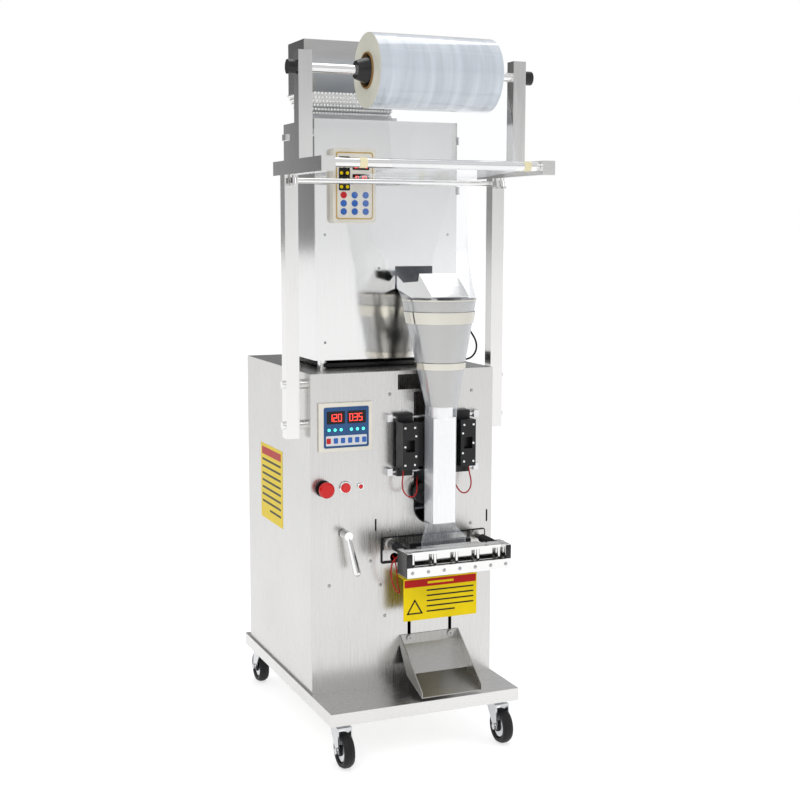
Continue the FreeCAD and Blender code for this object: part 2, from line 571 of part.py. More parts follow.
def discharge_spout():
    """The trough from the weigher to the funnel, with its sloping hood."""
    x = SIZES["bag_x"]
    floor = [Vector(x, 180, 960), Vector(x, 98, 896), Vector(x, -42, 868), Vector(x, -42, 866),
             Vector(x, 98, 894), Vector(x, 180, 958)]
    cheeks = [Vector(x, 180, 960), Vector(x, 180, 1000), Vector(x, 108, 930), Vector(x, 60, 908),
              Vector(x, -26, 914), Vector(x, -31, 931), Vector(x, -71, 904), Vector(x, -100, 884),
              Vector(x, -100, 880), Vector(x, -42, 866), Vector(x, 98, 894), Vector(x, 180, 958)]
    hood = [Vector(x, -31, 931), Vector(x, -71, 904), Vector(x, -100, 884), Vector(x, -100, 882),
            Vector(x, -71, 902), Vector(x, -31, 929)]

    def slab(points, low, wide):
        face = Part.Face(Part.makePolygon(points + points[:1]))
        solid = face.extrude(Vector(wide, 0, 0))
        solid.translate(Vector(low, 0, 0))
        return solid

    spout = slab(floor, -42, 84).fuse([slab(cheeks, -44, 2), slab(cheeks, 42, 2), slab(hood, -42, 84)])
    node("discharge_spout", made("spout_sheet", spout.removeSplitter()))


# ---------------------------------------------------------------- bag former
def circle_at(y, radius, z):
    return Part.makeCircle(radius, Vector(SIZES["bag_x"], y, z))


def cone_at(z):
    """Centre y and radius of the leaning funnel at a height."""
    part = (z - SIZES["neck_z"]) / (SIZES["cone_z"] - SIZES["neck_z"])
    return (SIZES["neck_y"] + part * (SIZES["cone_y"] - SIZES["neck_y"]),
            SIZES["neck_r"] + part * (SIZES["cone_r"] - SIZES["neck_r"]))


def cone_wall(low, high, inside, thick):
    """A wall round the funnel between two heights, standing off its outer surface by inside."""
    rings = {}
    for offset in (inside, inside + thick):
        wires = []
        for z in (low, high):
            y, radius = cone_at(z)
            wires.append(Part.Wire([circle_at(y, radius + offset, z)]))
        rings[offset] = Part.makeLoft(wires, True, True)
    return rings[inside + thick].cut(rings[inside])


def forming_set():
    """The funnel with its two hoops, and the forming tube: a round neck on a square body."""
    size = SIZES
    funnel = made("funnel", cone_wall(size["neck_z"], size["cone_z"], -size["cone_t"], size["cone_t"]))
    hoops = [made(f"hoop_{low}", cone_wall(low, high, 1.5, 1.2)) for low, high in ((824, 849), (724, 738))]
    node("forming_cone", funnel, *hoops)
    neck = rod("neck_outer", "tube_r", 31, ("bag_x", "tube_y", 612))
    collar = rod("neck_collar", "neck_r-2.4", 2, ("bag_x", "neck_y", 642))
    core = rod("neck_core", "tube_r-tube_t", 44, ("bag_x", "tube_y", 616))
    throat = rod("neck_throat", 18, 20, ("bag_x", "tube_y", 600))
    body = less("tube_box", block("tube_outer", ("tube_w", "tube_d", "616-tube_foot"),
                                  ("bag_x-tube_w/2", "tube_front", "tube_foot")),
                block("tube_hollow", ("tube_w-2*tube_t", "tube_d-2*tube_t", "614-tube_foot"),
                      ("bag_x-tube_w/2+tube_t", "tube_front+tube_t", "tube_foot-1")))
    node("forming_tube", less("tube_whole", both("tube_raw", body, neck, collar), core, throat))


def packaging_film():
    """The film: reel, front bar, rear bar, funnel, tube, and flat between the jaws."""
    size = SIZES
    left, right, skin, gap = size["roll_left"], size["roll_right"], size["film_t"], 1.5
    front_y, front_z = size["front_bar_y"], size["front_bar_z"]
    rear_y, rear_z = size["rear_bar_y"], size["rear_bar_z"]
    reach = size["front_bar_r"] + gap + skin
    falls = slab_between((size["shaft_y"] - size["roll_r"] - gap - skin, size["shaft_z"]),
                         (front_y - reach, front_z), left, right, skin)
    runs = slab_between((front_y, front_z - reach), (rear_y, rear_z + size["rear_bar_r"] + gap),
                        left, right, skin)
    back = rear_y + size["rear_bar_r"] + gap
    drop = film_drop(back + 4.5, rear_z, size["cone_z"] + 1)
    wrap = cone_wall(size["neck_z"], size["cone_z"], 0.1, 1.3).cut(behind_funnel())
    x_1, x_2 = size["bag_x"] - size["tube_w"] / 2 - 1, size["bag_x"] + size["tube_w"] / 2 + 1
    y_1, y_2 = size["tube_front"] - 1, size["tube_front"] + size["tube_d"] + 1
    foot, top = size["tube_foot"] - 2, 596

    throat = Part.Face(Part.Wire([circle_at(size["neck_y"], size["neck_r"] + 1.6, 617)]))
    throat = throat.cut(Part.Face(Part.Wire([circle_at(size["neck_y"], size["neck_r"] + 0.2, 617)])))
    throat = throat.extrude(Vector(0, 0, size["neck_z"] - 617.5))
    sleeve = Part.makeBox(x_2 - x_1 + 2 * skin, y_2 - y_1 + 2 * skin, top - foot,
                          Vector(x_1 - skin, y_1 - skin, foot))
    sleeve = sleeve.cut(Part.makeBox(x_2 - x_1, y_2 - y_1, 400, Vector(x_1, y_1, foot - 10)))
    fin = Part.makeBox(skin, 13, top - foot, Vector(size["bag_x"] - skin / 2, y_2 + skin - 0.1, foot))
    flat_half, flat_y = 54, size["film_y"]
    flat = rectangle_at(size["bag_x"] - flat_half, flat_y - 0.5, size["bag_x"] + flat_half, flat_y + 0.5, 345)
    closing = Part.makeLoft([flat, rectangle_at(x_1, y_1, x_2, y_2, foot - 0.5)], True, True)
    bag = Part.makeBox(2 * flat_half, 1.0, 75, Vector(size["bag_x"] - flat_half, flat_y - 0.5, 269.5))
    shapes = {"falls": falls, "runs": runs, "drop": drop, "wrap": wrap, "throat": throat,
              "sleeve": sleeve.fuse(fin), "closing": closing, "bag": bag}
    node("packaging_film", *[made(f"film_{name}", shape) for name, shape in shapes.items()])


def slab_between(start, end, left, right, thick):
    """A flat sheet between two (y, z) lines, from left to right in x."""
    along = Vector(0, end[0] - start[0], end[1] - start[1])
    across = Vector(0, -along.z, along.y).normalize() * thick
    corner = Vector(left, *start)
    points = [corner, corner + along, corner + along + across, corner + across]
    return Part.Face(Part.makePolygon(points + points[:1])).extrude(Vector(right - left, 0, 0))


def film_drop(top_y, top_z, foot_z):
    """The sheet between the rear bar and the funnel's rim, in flat strips from a line to half a circle."""
    size, strips = SIZES, 12
    lift = Vector(0, 0, 3.6)
    upper, lower = [], []
    for number in range(strips + 1):
        part = number / strips
        across = size["roll_left"] + part * (size["roll_right"] - size["roll_left"])
        upper.append(Vector(across, top_y, top_z))
        angle = math.pi * (1 + part)
        radius = size["cone_r"] + 0.5
        lower.append(Vector(size["bag_x"] + radius * math.cos(angle),
                            size["cone_y"] + radius * math.sin(angle), foot_z))
    faces = []
    for number in range(strips):
        first, second = upper[number:number + 2]
        third, fourth = lower[number:number + 2]
        for corners in ([first, second, third], [second, fourth, third]):
            faces.append(flat_face(corners))
            faces.append(flat_face([corner + lift for corner in corners]))
    rim = upper + lower[::-1]
    for start, end in zip(rim, rim[1:] + rim[:1]):
        faces.append(flat_face([start, end, end + lift, start + lift]))
    solid = Part.Solid(Part.Shell(faces))
    if solid.Volume < 0:
        solid.reverse()
    return solid


def flat_face(corners):
    return Part.Face(Part.makePolygon(corners + corners[:1]))


def behind_funnel():
    """The space behind the funnel's leaning axis, to cut a ring down to its front half."""
    size = SIZES
    low, high = size["neck_z"], size["cone_z"]
    points = [Vector(-100, size["neck_y"], low), Vector(-100, size["cone_y"], high),
              Vector(-100, 200, high), Vector(-100, 200, low)]
    return flat_face(points).extrude(Vector(400, 0, 0))


# ---------------------------------------------------------------- vertical sealers and pull wheels
def vertical_sealers():
    """Two heater carriers that slide on cross rods and pinch the fin behind the tube."""
    rod_places = [(SIZES["seal_z"] - 8), (SIZES["seal_z"] + SIZES["seal_tall"] + 8)]
    for side, name in ((-1, "left"), (1, "right")):
        near = "bag_x+seal_in" if side > 0 else "bag_x-seal_in-seal_w"
        carrier = block(f"{name}_carrier", ("seal_w", "-seal_front-10", "seal_tall"),
                        (near, "seal_front", "seal_z"))
        start = "bag_x+13" if side > 0 else "bag_x-seal_in-2"
        bar = block(f"{name}_seal_bar", ("seal_in-11", 14, "seal_tall-6"), (start, -23, "seal_z+3"))
        lugs = [block(f"{name}_lug_{number}", ("seal_w", 15, 20), (near, -16.5, z - 10))
                for number, z in enumerate(rod_places)]
        bores = [rod(f"{name}_bore_{number}", 4.06, 90, (f"{near}-20", -8, z), "x")
                 for number, z in enumerate(rod_places)]
        waist = block(f"{name}_relief", ("seal_w-16", 30, 26), (f"{near}+8", "seal_front-14", "seal_z+40"))
        node(f"{name}_sealer", less(f"{name}_sealer_body", both(f"{name}_sealer_raw", carrier, bar, *lugs),
                                    *bores, waist))
    rods = []
    for number, z in enumerate(rod_places):
        shaft = rod(f"seal_rod_{number}", 4, 216, ("bag_x-108", -8, z), "x")
        stands = [block(f"seal_stand_{number}_{side}", (12, 16, 16), (f"bag_x+({side}*106)-6", -16, z - 8))
                  for side in (-1, 1)]
        rods.append(both(f"seal_rail_{number}", shaft, *stands))
    node("seal_guide_rods", *rods)


def pull_wheels():
    """Two rubber wheels that pinch the fin and draw the film down, geared together inside."""
    for side, name in ((-1, "left"), (1, "right")):
        x = f"bag_x+({side}*(wheel_pull_r+pull_gap))"
        wheel = rod(f"{name}_pull_tyre", "wheel_pull_r", 12, (x, -22, "pull_z"), "y")
        hub = rod(f"{name}_pull_hub", 9, 4, (x, -24.5, "pull_z"), "y")
        shaft = rod(f"{name}_pull_shaft", 5, 70, (x, -12, "pull_z"), "y")
        gear = rod(f"{name}_pull_gear", "wheel_pull_r-0.5", 8, (x, 36, "pull_z"), "y")
        node(f"{name}_pull_wheel", both(f"{name}_pull_whole", wheel, hub, shaft, gear))
    motor_x = "bag_x-wheel_pull_r-pull_gap"
    body = block("stepper_body", (56, 76, 56), (f"{motor_x}-28", 51, "pull_z-28"))
    plate = block("stepper_plate", (114, 5, 80), (f"{motor_x}-28", 46, "pull_z-40"))
    arm = block("stepper_arm", (114, 62, 4), (f"{motor_x}-28", 3, "pull_z-40"))
    holes = [rod(f"stepper_hole_{side}", 5.06, 22, (f"bag_x+({side}*(wheel_pull_r+pull_gap))", 40,
                                                    "pull_z"), "y")
             for side in (-1, 1)]
    node("feed_stepper", less("stepper_whole", both("stepper_raw", body, plate, arm), *holes))


# ---------------------------------------------------------------- horizontal jaws and their drive
def jaws():
    """Front and rear jaws on one pair of guide rods, driven by pins on one crank disc."""
    size = SIZES
    throw = size["crank_r"] * math.sin(math.radians(size["crank_rest"]))
    lift = size["crank_r"] * math.cos(math.radians(size["crank_rest"]))
    crank_y = size["crank_y"]
    seal_face = f"film_y-jaw_open"
    bar = block("front_seal_bar", (150, 14, 34), ("bag_x-75", f"{seal_face}-14", 302))
    web = block("front_web", ("2*strip_half", 8, 40), ("jaw_x-strip_half", f"{seal_face}-22", 296))
    lower = block("front_lower_strip", ("2*strip_half", 4, 22), ("jaw_x-strip_half", -140, 281))
    shelf = block("front_lower_shelf", ("2*strip_half", 30, 3), ("jaw_x-strip_half", -140, 281))
    back = block("front_shelf_back", ("2*strip_half", 4, 18), ("jaw_x-strip_half", -113, 281))
    upper = block("front_upper_strip", ("2*strip_half", 22, 6), ("jaw_x-strip_half", -129, 328))
    spacers = [rod(f"front_spacer_{number}", 4, 46, (f"jaw_x+({(number - 2) * 52})", -122, 283))
               for number in range(5)]
    ends = [block(f"front_end_{side}", (12, 54, 54), (f"jaw_x+({side}*(strip_half-6))-6", -140, 281))
            for side in (-1, 1)]
    node("front_jaw", both("front_jaw_whole", bar, web, lower, shelf, back, upper, *spacers, *ends))
    rods = [rod(f"jaw_rod_{side}", "rod_r", 166, (f"jaw_x+({side}*rod_gap)", -102, "jaw_z"), "y")
            for side in (-1, 1)]
    cross = block("jaw_cross", ("2*rod_gap+24", 12, 26), ("jaw_x-rod_gap-12", 52, 324))
    plate = block("jaw_yoke_plate", (10, 78, 46), (46, 52, 326))
    slot = block("jaw_yoke_slot", (20, "2*crank_pin_r+1", 18),
                 (40, crank_y - throw - size["crank_pin_r"] - 0.5, size["jaw_z"] + lift - 8))
    node("jaw_guide_rods", less("jaw_yoke", both("jaw_yoke_raw", cross, plate, *rods), slot))
    rear = block("rear_seal_bar", (150, 16, 34), ("bag_x-75", "film_y+jaw_open", 302))
    pushers = [rod(f"rear_pusher_{side}", 5, 108, (f"bag_x+({side}*50)", -42, 311), "y") for side in (-1, 1)]
    rear_cross = block("rear_cross", (124, 12, 22), ("bag_x-62", 54, 298))
    rear_plate = block("rear_yoke_plate", (10, 76, 29), (74.5, 62, 289))
    rear_slot = block("rear_yoke_slot", (20, "2*crank_pin_r+1", 20),
                      (70, crank_y + throw - size["crank_pin_r"] - 0.5, size["jaw_z"] - lift - 7.2))
    cap = rod("rear_heater_cap", 5, 9, ("bag_x-83", "film_y+jaw_open+8", 311), "x")
    node("rear_jaw", less("rear_jaw_cut", both("rear_jaw_whole", rear, rear_cross, rear_plate, cap, *pushers),
                          rear_slot))
    disc = rod("crank_plate", "crank_r+12", 10, (60, crank_y, "jaw_z"), "x")
    pin_up = rod("crank_pin_up", "crank_pin_r", 15.5, (45.5, crank_y - throw, size["jaw_z"] + lift), "x")
    pin_down = rod("crank_pin_down", "crank_pin_r", 15.5, (69.5, crank_y + throw, size["jaw_z"] - lift), "x")
    shaft = rod("crank_shaft", 8, 60, (70, crank_y, "jaw_z"), "x")
    hub = rod("crank_hub", 12, 15, (90, crank_y, "jaw_z"), "x")
    node("crank_disc", both("crank_whole", disc, pin_up, pin_down, shaft, hub))
    plate = block("bearing_plate", (280, 8, 78), ("jaw_x-140", "skin", 276))
    flanges = [block(f"bush_flange_{side}", (36, 10, 28), (f"jaw_x+({side}*rod_gap)-18", -6, "jaw_z-14"))
               for side in (-1, 1)]
    rings = [rod(f"bush_ring_{side}", 12, 14, (f"jaw_x+({side}*rod_gap)", -12, "jaw_z"),
                 "y") for side in (-1, 1)]
    bores = [rod(f"bush_bore_{side}", "rod_r+0.06", 60, (f"jaw_x+({side}*rod_gap)", -30, "jaw_z"), "y")
             for side in (-1, 1)]
    bores += [rod(f"pusher_bore_{side}", 5.06, 60, (f"bag_x+({side}*50)", -30, 311), "y") for side in (-1, 1)]
    bores.append(rod("wire_bore", 10, 40, (-22, -12, 294), "y"))
    node("jaw_bearing_plate", less("bearing_whole", both("bearing_raw", plate, *flanges, *rings), *bores))


def gearmotor():
    """The main motor with its gearbox, on a bench bolted to the cabinet's floor."""
    box = block("gearbox", (80, 100, 110), (110, 84, 272))
    motor = rod("motor_can", 42, 130, (150, 184, 327), "y")
    bench = block("motor_bench", (90, 220, 8), (105, 82, 264))
    legs = [block(f"bench_leg_{y}", (90, 8, 262), (105, y, "skin")) for y in (86, 290)]
    bore = rod("gearbox_bore", 8.06, 60, (100, "crank_y", "jaw_z"), "x")
    node("gearmotor", less("motor_whole", both("motor_raw", box, motor, bench, *legs), bore))


def electrical_box():
    """The control cabinet's driver boards in a steel case, on the left inside wall."""
    case = block("driver_case", (60, 260, 300), ("skin-cab_w/2", 150, 120))
    rail = block("terminal_rail", (12, 200, 36), ("skin-cab_w/2+59", 180, 160))
    node("electrical_box", both("driver_whole", case, rail))


# ---------------------------------------------------------------- controls
def controls():
    """Control panel, emergency stop, lit push switch and the clamping lever."""
    face = block("screen_bezel", (124, 6, 107), (-203, -6.2, 545))
    back = block("screen_back", (90, 40, 78), (-186, -0.5, 560))
    node("control_panel", both("screen_whole", face, back))
    dish = [(0, -30), (14, -30), (17.5, -26), (17.5, -21), (12, -18), (10.9, -14), (10.9, 20), (0, 20)]
    node("emergency_stop", turned("stop_head", dish, (-192, 0, 464), "y"))
    lamp = [(0, -9), (9, -9), (10.9, -7), (10.9, 20), (0, 20)]
    node("power_switch", turned("switch_cap", lamp, (-140.5, 0, 462.5), "y"))
    hub = rod("lever_hub", 10, 30, (-145.5, -36, 360), "y")
    stem = rod("lever_stem", 6.9, 24, (-145.5, -8, 360), "y")
    handle = made("lever_handle", Part.makeCone(5, 8.5, 84, Vector(-145.5, -30, 360), Vector(17, -12, -84)))
    grip = made("lever_end", Part.makeSphere(8.5, Vector(-129.1, -41.6, 278.9)))
    node("clamp_lever", both("lever_whole", hub, stem, handle, grip))
    node("notice_plate", both("notice_whole", block("notice_sheet", (180, 1.5, 96), ("bag_x-90", -57, 160)),
                              *[block(f"notice_stay_{side}", (8, 56, 2), (f"bag_x+({side}*80)-4", -56, 252))
                                for side in (-1, 1)]))


def product_chute():
    """The exit chute hangs in two slots and slides up and down to suit the bag's length."""
    left, right = SIZES["bag_x"] - 76, SIZES["bag_x"] + 71
    flange = Part.makeBox(right - left, 2, 24, Vector(left, -2.3, 88))
    floor = [Vector(left, -2.3, 90), Vector(left, -44, 32), Vector(left, -128, 6), Vector(left, -128, 4),
             Vector(left, -44, 30), Vector(left, -2.3, 88)]
    wall = [Vector(left, -2.3, 112), Vector(left, -128, 17), Vector(left, -128, 4), Vector(left, -44, 30),
            Vector(left, -2.3, 88)]

    def slab(points, low, wide):
        solid = Part.Face(Part.makePolygon(points + points[:1])).extrude(Vector(wide, 0, 0))
        solid.translate(Vector(low, 0, 0))
        return solid

    studs = [Part.makeCylinder(3.9, 14, Vector(x, -5.5, 104), Vector(0, 1, 0)) for x in (14, 116)]
    heads = [Part.makeCylinder(7, 4, Vector(x, -6.3, 104), Vector(0, 1, 0)) for x in (14, 116)]
    body = flange.fuse([slab(floor, 0, right - left), slab(wall, 0, 2), slab(wall, right - left - 2, 2)]
                       + studs + heads)
    node("product_chute", made("chute_sheet", body.removeSplitter()))


# ---------------------------------------------------------------- wires
def tube_along(points, radius):
    """A round tube along straight runs joined by arcs, each as large as its two runs allow."""
    spots = [Vector(*point) for point in points]
    edges, start, radii = [], spots[0], []
    for before, corner, after in zip(spots, spots[1:], spots[2:]):
        into, out = (corner - before).normalize(), (after - corner).normalize()
        turn = into.getAngle(out)
        reach = 0.45 * min(before.distanceToPoint(corner), corner.distanceToPoint(after))
        bend = reach / math.tan(turn / 2)
        begin, end = corner - into * reach, corner + out * reach
        middle = corner + (out - into).normalize() * (bend / math.cos(turn / 2) - bend)
        edges += [Part.makeLine(start, begin), Part.Arc(begin, middle, end).toShape()]
        start = end
        radii.append(round(bend, 1))
    edges.append(Part.makeLine(start, spots[-1]))
    path = Part.Wire(edges)
    ring = Part.Wire([Part.makeCircle(radius, spots[0], spots[1] - spots[0])])
    solid = path.makePipeShell([ring], True, False)
    expected = math.pi * radius * radius * path.Length
    print("cord radii", radii, "length", round(path.Length, 1), "volume ratio",
          round(solid.Volume / expected, 4))
    return solid


WIRES = {
    "left_seal_wire": (1.6, [(-14, -30, 499.5), (-15, -31, 484), (-19, -34, 467), (-17, -38, 450),
                             (-6, -41, 438),
                             (7, -41, 438), (15, -38, 447), (19, -31, 458), (22, -21, 467), (29, -9, 474),
                             (37, 6, 478), (42, 22, 476)]),
    "right_seal_wire": (1.6, [(146, -30, 499.5), (147, -31, 484), (151, -34, 467), (149, -38, 450),
                              (138, -41, 438), (125, -41, 438), (117, -38, 447), (113, -31, 458),
                              (110, -21, 467), (103, -9, 474), (95, 6, 478), (90, 22, 476)]),
    "jaw_wire": (1.6, [(-17.3, -48, 311), (-31, -48, 310), (-44, -49, 303), (-51, -51, 289), (-53, -53, 272),
                       (-51, -55, 255), (-46, -56, 239), (-38, -54, 229), (-30, -48, 224), (-26, -38, 226),
                       (-25, -29, 233), (-25, -22, 246), (-24, -18, 262), (-24, -13, 277), (-23, -4, 289),
                       (-22, 9, 295), (-22, 24, 297), (-21, 40, 296)]),
    "sensor_cable": (2.2, [(140, 128, 845), (140, 110, 846), (141, 92, 845), (147, 76, 840), (158, 62, 828),
                           (173, 52, 811), (189, 46, 791), (200, 43, 769), (199, 44, 748), (188, 49, 733),
                           (173, 55, 730), (160, 60, 723), (152, 64, 709), (150, 66, 692)]),
}


def wires():
    for name, (radius, points) in WIRES.items():
        node(name, made(name + "_run", tube_along(points, radius)))


for build in (base_tray, cabinet_shell, front_panel, rear_door, casters, film_frame, film_bars, film_roll,
              weigher_housing, weigher_covers, weigher_controller, supply_hopper, weigher_inside,
              discharge_spout, forming_set, packaging_film, vertical_sealers, pull_wheels, jaws, gearmotor, electrical_box,
              controls, product_chute, wires):
    build()
doc.recompute()

for thing in doc.Objects:
    if "Invalid" in thing.State or "Error" in thing.State:
        raise SystemExit(f"{thing.Name} did not build: {thing.State}")
for name, thing in NODES.items():
    if thing.Shape.isNull() or not thing.Shape.isValid() or not thing.Shape.Solids:
        raise SystemExit(f"{name} has no valid solid")
    thing.Shape.exportStep(f"parts/{name}.step")
print(len(NODES), "nodes written")
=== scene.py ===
# %% [markdown]
# # A vertical form fill sealer
# The machine draws clear film from a reel, wraps it round a funnel and a tube, welds it into bags with hot
# jaws, and drops a weighed portion into each. Its mechanism comes in as a frame of solid parts. This lesson
# adds what the frame can't hold: the film, the wires, the keypads, the screws and every finish.

# %% Load the frame
import math
import bmesh
import bpy
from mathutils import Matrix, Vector


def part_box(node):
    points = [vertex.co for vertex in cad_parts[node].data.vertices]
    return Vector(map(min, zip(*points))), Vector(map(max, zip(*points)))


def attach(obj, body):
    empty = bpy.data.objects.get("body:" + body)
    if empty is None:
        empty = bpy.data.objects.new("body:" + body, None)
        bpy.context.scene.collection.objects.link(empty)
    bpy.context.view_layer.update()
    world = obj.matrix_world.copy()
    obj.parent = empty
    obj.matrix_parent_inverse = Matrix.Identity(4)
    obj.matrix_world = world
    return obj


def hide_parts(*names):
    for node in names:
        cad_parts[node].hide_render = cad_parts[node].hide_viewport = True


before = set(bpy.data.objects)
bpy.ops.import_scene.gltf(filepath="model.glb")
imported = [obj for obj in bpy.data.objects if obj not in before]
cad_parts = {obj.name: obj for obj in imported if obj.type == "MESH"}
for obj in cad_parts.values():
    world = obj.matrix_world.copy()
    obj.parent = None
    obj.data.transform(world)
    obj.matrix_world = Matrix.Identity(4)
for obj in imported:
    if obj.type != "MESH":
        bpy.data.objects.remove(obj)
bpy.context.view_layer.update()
PANEL_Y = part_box("front_panel")[0][1]
DECK_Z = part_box("cabinet_shell")[0][2]
MM = 0.001
BAG_X = 66
JAW_X = 74
ROOT = "machine_frame"


def at(x, y, z):
    """A point given in millimetres from the cabinet's centre plane, front face and deck."""
    return Vector((x * MM, PANEL_Y + y * MM, DECK_Z + z * MM))


# %% [markdown]
# ## Camera
# The camera comes first, because every later choice of detail depends on what it sees. It stands a little to
# the left of the machine at chest height, with a lens long enough to keep the upright posts upright.

# %% Camera
camera_data = bpy.data.cameras.new("camera")
camera_data.lens = 60.62
camera_data.sensor_width = 36
camera = bpy.data.objects.new("camera", camera_data)
bpy.context.scene.collection.objects.link(camera)
camera.location = (-1.1666, -2.9027, 1.1563)
camera.rotation_euler = (math.radians(90 - 7.27), math.radians(-0.12), math.radians(-22.9))
bpy.context.scene.camera = camera
bpy.context.scene.view_settings.view_transform = "Standard"
print("camera at", [round(v, 3) for v in camera.location])

# %% [markdown]
# ## Mesh helpers
# Most added pieces are either boxes with eased edges, plates with round corners, or turned shapes. Each
# helper adds its shape to a bmesh, so one object can hold many. The last helper makes the object and names
# the body that it rides on.


# %% Mesh helpers
def add_box(mesh, low, high, ease=0.0):
    """A box between two corners in metres, its edges eased by a bevel."""
    made = bmesh.ops.create_cube(mesh, size=1)["verts"]
    centre, size = (low + high) / 2, high - low
    for vert in made:
        vert.co = Vector([centre[i] + vert.co[i] * size[i] for i in range(3)])
    if ease:
        edges = list({edge for vert in made for edge in vert.link_edges})
        bmesh.ops.bevel(mesh, geom=edges, offset=ease, segments=2, profile=0.5, affect="EDGES")


def add_outline(mesh, points, depth):
    """A closed outline pushed along a vector into a solid."""
    near = [mesh.verts.new(point) for point in points]
    far = [mesh.verts.new(point + depth) for point in points]
    mesh.faces.new(near)
    mesh.faces.new(far[::-1])
    count = len(points)
    for i in range(count):
        mesh.faces.new((near[i], far[i], far[(i + 1) % count], near[(i + 1) % count]))


def rounded(x_1, x_2, z_1, z_2, radius, y, steps=5):
    """Points round a rectangle with round corners, in a plane parallel to the front panel."""
    corners = ((x_2 - radius, z_2 - radius, 0), (x_1 + radius, z_2 - radius, 90),
               (x_1 + radius, z_1 + radius, 180), (x_2 - radius, z_1 + radius, 270))
    points = []
    for x, z, start in corners:
        for i in range(steps + 1):
            angle = math.radians(start + 90 * i / steps)
            points.append(at(x + radius * math.cos(angle), y, z + radius * math.sin(angle)))
    return points


def add_plate(mesh, x_1, x_2, z_1, z_2, y, thick, radius):
    add_outline(mesh, rounded(x_1, x_2, z_1, z_2, radius, y), Vector((0, thick * MM, 0)))


def add_turned(mesh, outline, centre, axis, segments=48):
    """A closed (radius, along) outline in millimetres turned about an axis through a point."""
    along = Vector(axis)
    side = Vector((0, 0, 1)) if abs(along.z) < 0.5 else Vector((1, 0, 0))
    other = along.cross(side)
    rings = []
    for i in range(segments):
        angle = 2 * math.pi * i / segments
        out = side * math.cos(angle) + other * math.sin(angle)
        rings.append([mesh.verts.new(centre + out * r * MM + along * a * MM) for r, a in outline])
    count = len(outline)
    for i in range(segments):
        ring, following = rings[i], rings[(i + 1) % segments]
        for j in range(count):
            k = (j + 1) % count
            mesh.faces.new((ring[j], ring[k], following[k], following[j]))


def finish_piece(name, mesh, material, body, sharp=35):
    """The bmesh as an object: doubles merged, faces outward, edges sharp past an angle, riding on a body."""
    bmesh.ops.remove_doubles(mesh, verts=mesh.verts, dist=1e-6)
    bmesh.ops.dissolve_degenerate(mesh, edges=mesh.edges, dist=1e-7)
    bmesh.ops.recalc_face_normals(mesh, faces=mesh.faces)
    data = bpy.data.meshes.new(name)
    mesh.to_mesh(data)
    mesh.free()
    data.shade_smooth()
    data.set_sharp_from_angle(angle=math.radians(sharp))
    data.materials.append(material)
    made = bpy.data.objects.new(name, data)
    bpy.context.scene.collection.objects.link(made)
    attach(made, body)
    print(name, len(data.polygons), "faces")
    return made


# %% [markdown]
# ## Finishes
# Two node groups serve most finishes. One gives the fine drawn lines that a belt leaves on sheet steel: a
# noise stretched along one axis, with a second, broad noise for the slow cloudiness of a wiped surface. The
# other gives the small pebbling of moulded plastic and rubber. Each finish then sets its own colour and
# gloss.


# %% Shared groups
def group_with(name, inputs, outputs):
    group = bpy.data.node_groups.new(name, "ShaderNodeTree")
    for label, kind, value in inputs:
        group.interface.new_socket(label, in_out="INPUT", socket_type=kind).default_value = value
    for label, kind in outputs:
        group.interface.new_socket(label, in_out="OUTPUT", socket_type=kind)
    return group, group.nodes.new("NodeGroupInput"), group.nodes.new("NodeGroupOutput")


def drawn_lines():
    group, given, out = group_with(
        "drawn_lines", [("Stretch", "NodeSocketVector", (1, 1, 1)), ("Cloud Size", "NodeSocketFloat", 4.0)],
        [("Lines", "NodeSocketFloat"), ("Clouds", "NodeSocketFloat")])
    place = group.nodes.new("ShaderNodeTexCoord")
    mapping = group.nodes.new("ShaderNodeMapping")
    lines = group.nodes.new("ShaderNodeTexNoise")
    lines.inputs["Scale"].default_value = 1.0
    lines.inputs["Detail"].default_value = 3.0
    clouds = group.nodes.new("ShaderNodeTexNoise")
    clouds.inputs["Detail"].default_value = 2.0
    link = group.links.new
    link(place.outputs["Object"], mapping.inputs["Vector"])
    link(given.outputs["Stretch"], mapping.inputs["Scale"])
    link(mapping.outputs["Vector"], lines.inputs["Vector"])
    link(place.outputs["Object"], clouds.inputs["Vector"])
    link(given.outputs["Cloud Size"], clouds.inputs["Scale"])
    link(lines.outputs["Fac"], out.inputs["Lines"])
    link(clouds.outputs["Fac"], out.inputs["Clouds"])
    return group


def pebbling():
    group, given, out = group_with(
        "pebbling", [("Grain Size", "NodeSocketFloat", 900.0)],
        [("Grain", "NodeSocketFloat"), ("Wear", "NodeSocketFloat")])
    place = group.nodes.new("ShaderNodeTexCoord")
    grain = group.nodes.new("ShaderNodeTexNoise")
    wear = group.nodes.new("ShaderNodeTexNoise")
    wear.inputs["Scale"].default_value = 22.0
    wear.inputs["Detail"].default_value = 4.0
    link = group.links.new
    link(place.outputs["Object"], grain.inputs["Vector"])
    link(place.outputs["Object"], wear.inputs["Vector"])
    link(given.outputs["Grain Size"], grain.inputs["Scale"])
    link(grain.outputs["Fac"], out.inputs["Grain"])
    link(wear.outputs["Fac"], out.inputs["Wear"])
    return group


DRAWN_LINES = drawn_lines()
PEBBLING = pebbling()


def new_finish(name):
    material = bpy.data.materials.new(name)
    material.use_nodes = True
    return material, material.node_tree.nodes["Principled BSDF"], material.node_tree


def ranged(tree, source, low, high, target):
    """A mask spread between two values and sent to a socket."""
    spread = tree.nodes.new("ShaderNodeMapRange")
    spread.inputs["From Min"].default_value = 0.3
    spread.inputs["From Max"].default_value = 0.7
    spread.inputs["To Min"].default_value = low
    spread.inputs["To Max"].default_value = high
    tree.links.new(source, spread.inputs["Value"])
    tree.links.new(spread.outputs["Result"], target)


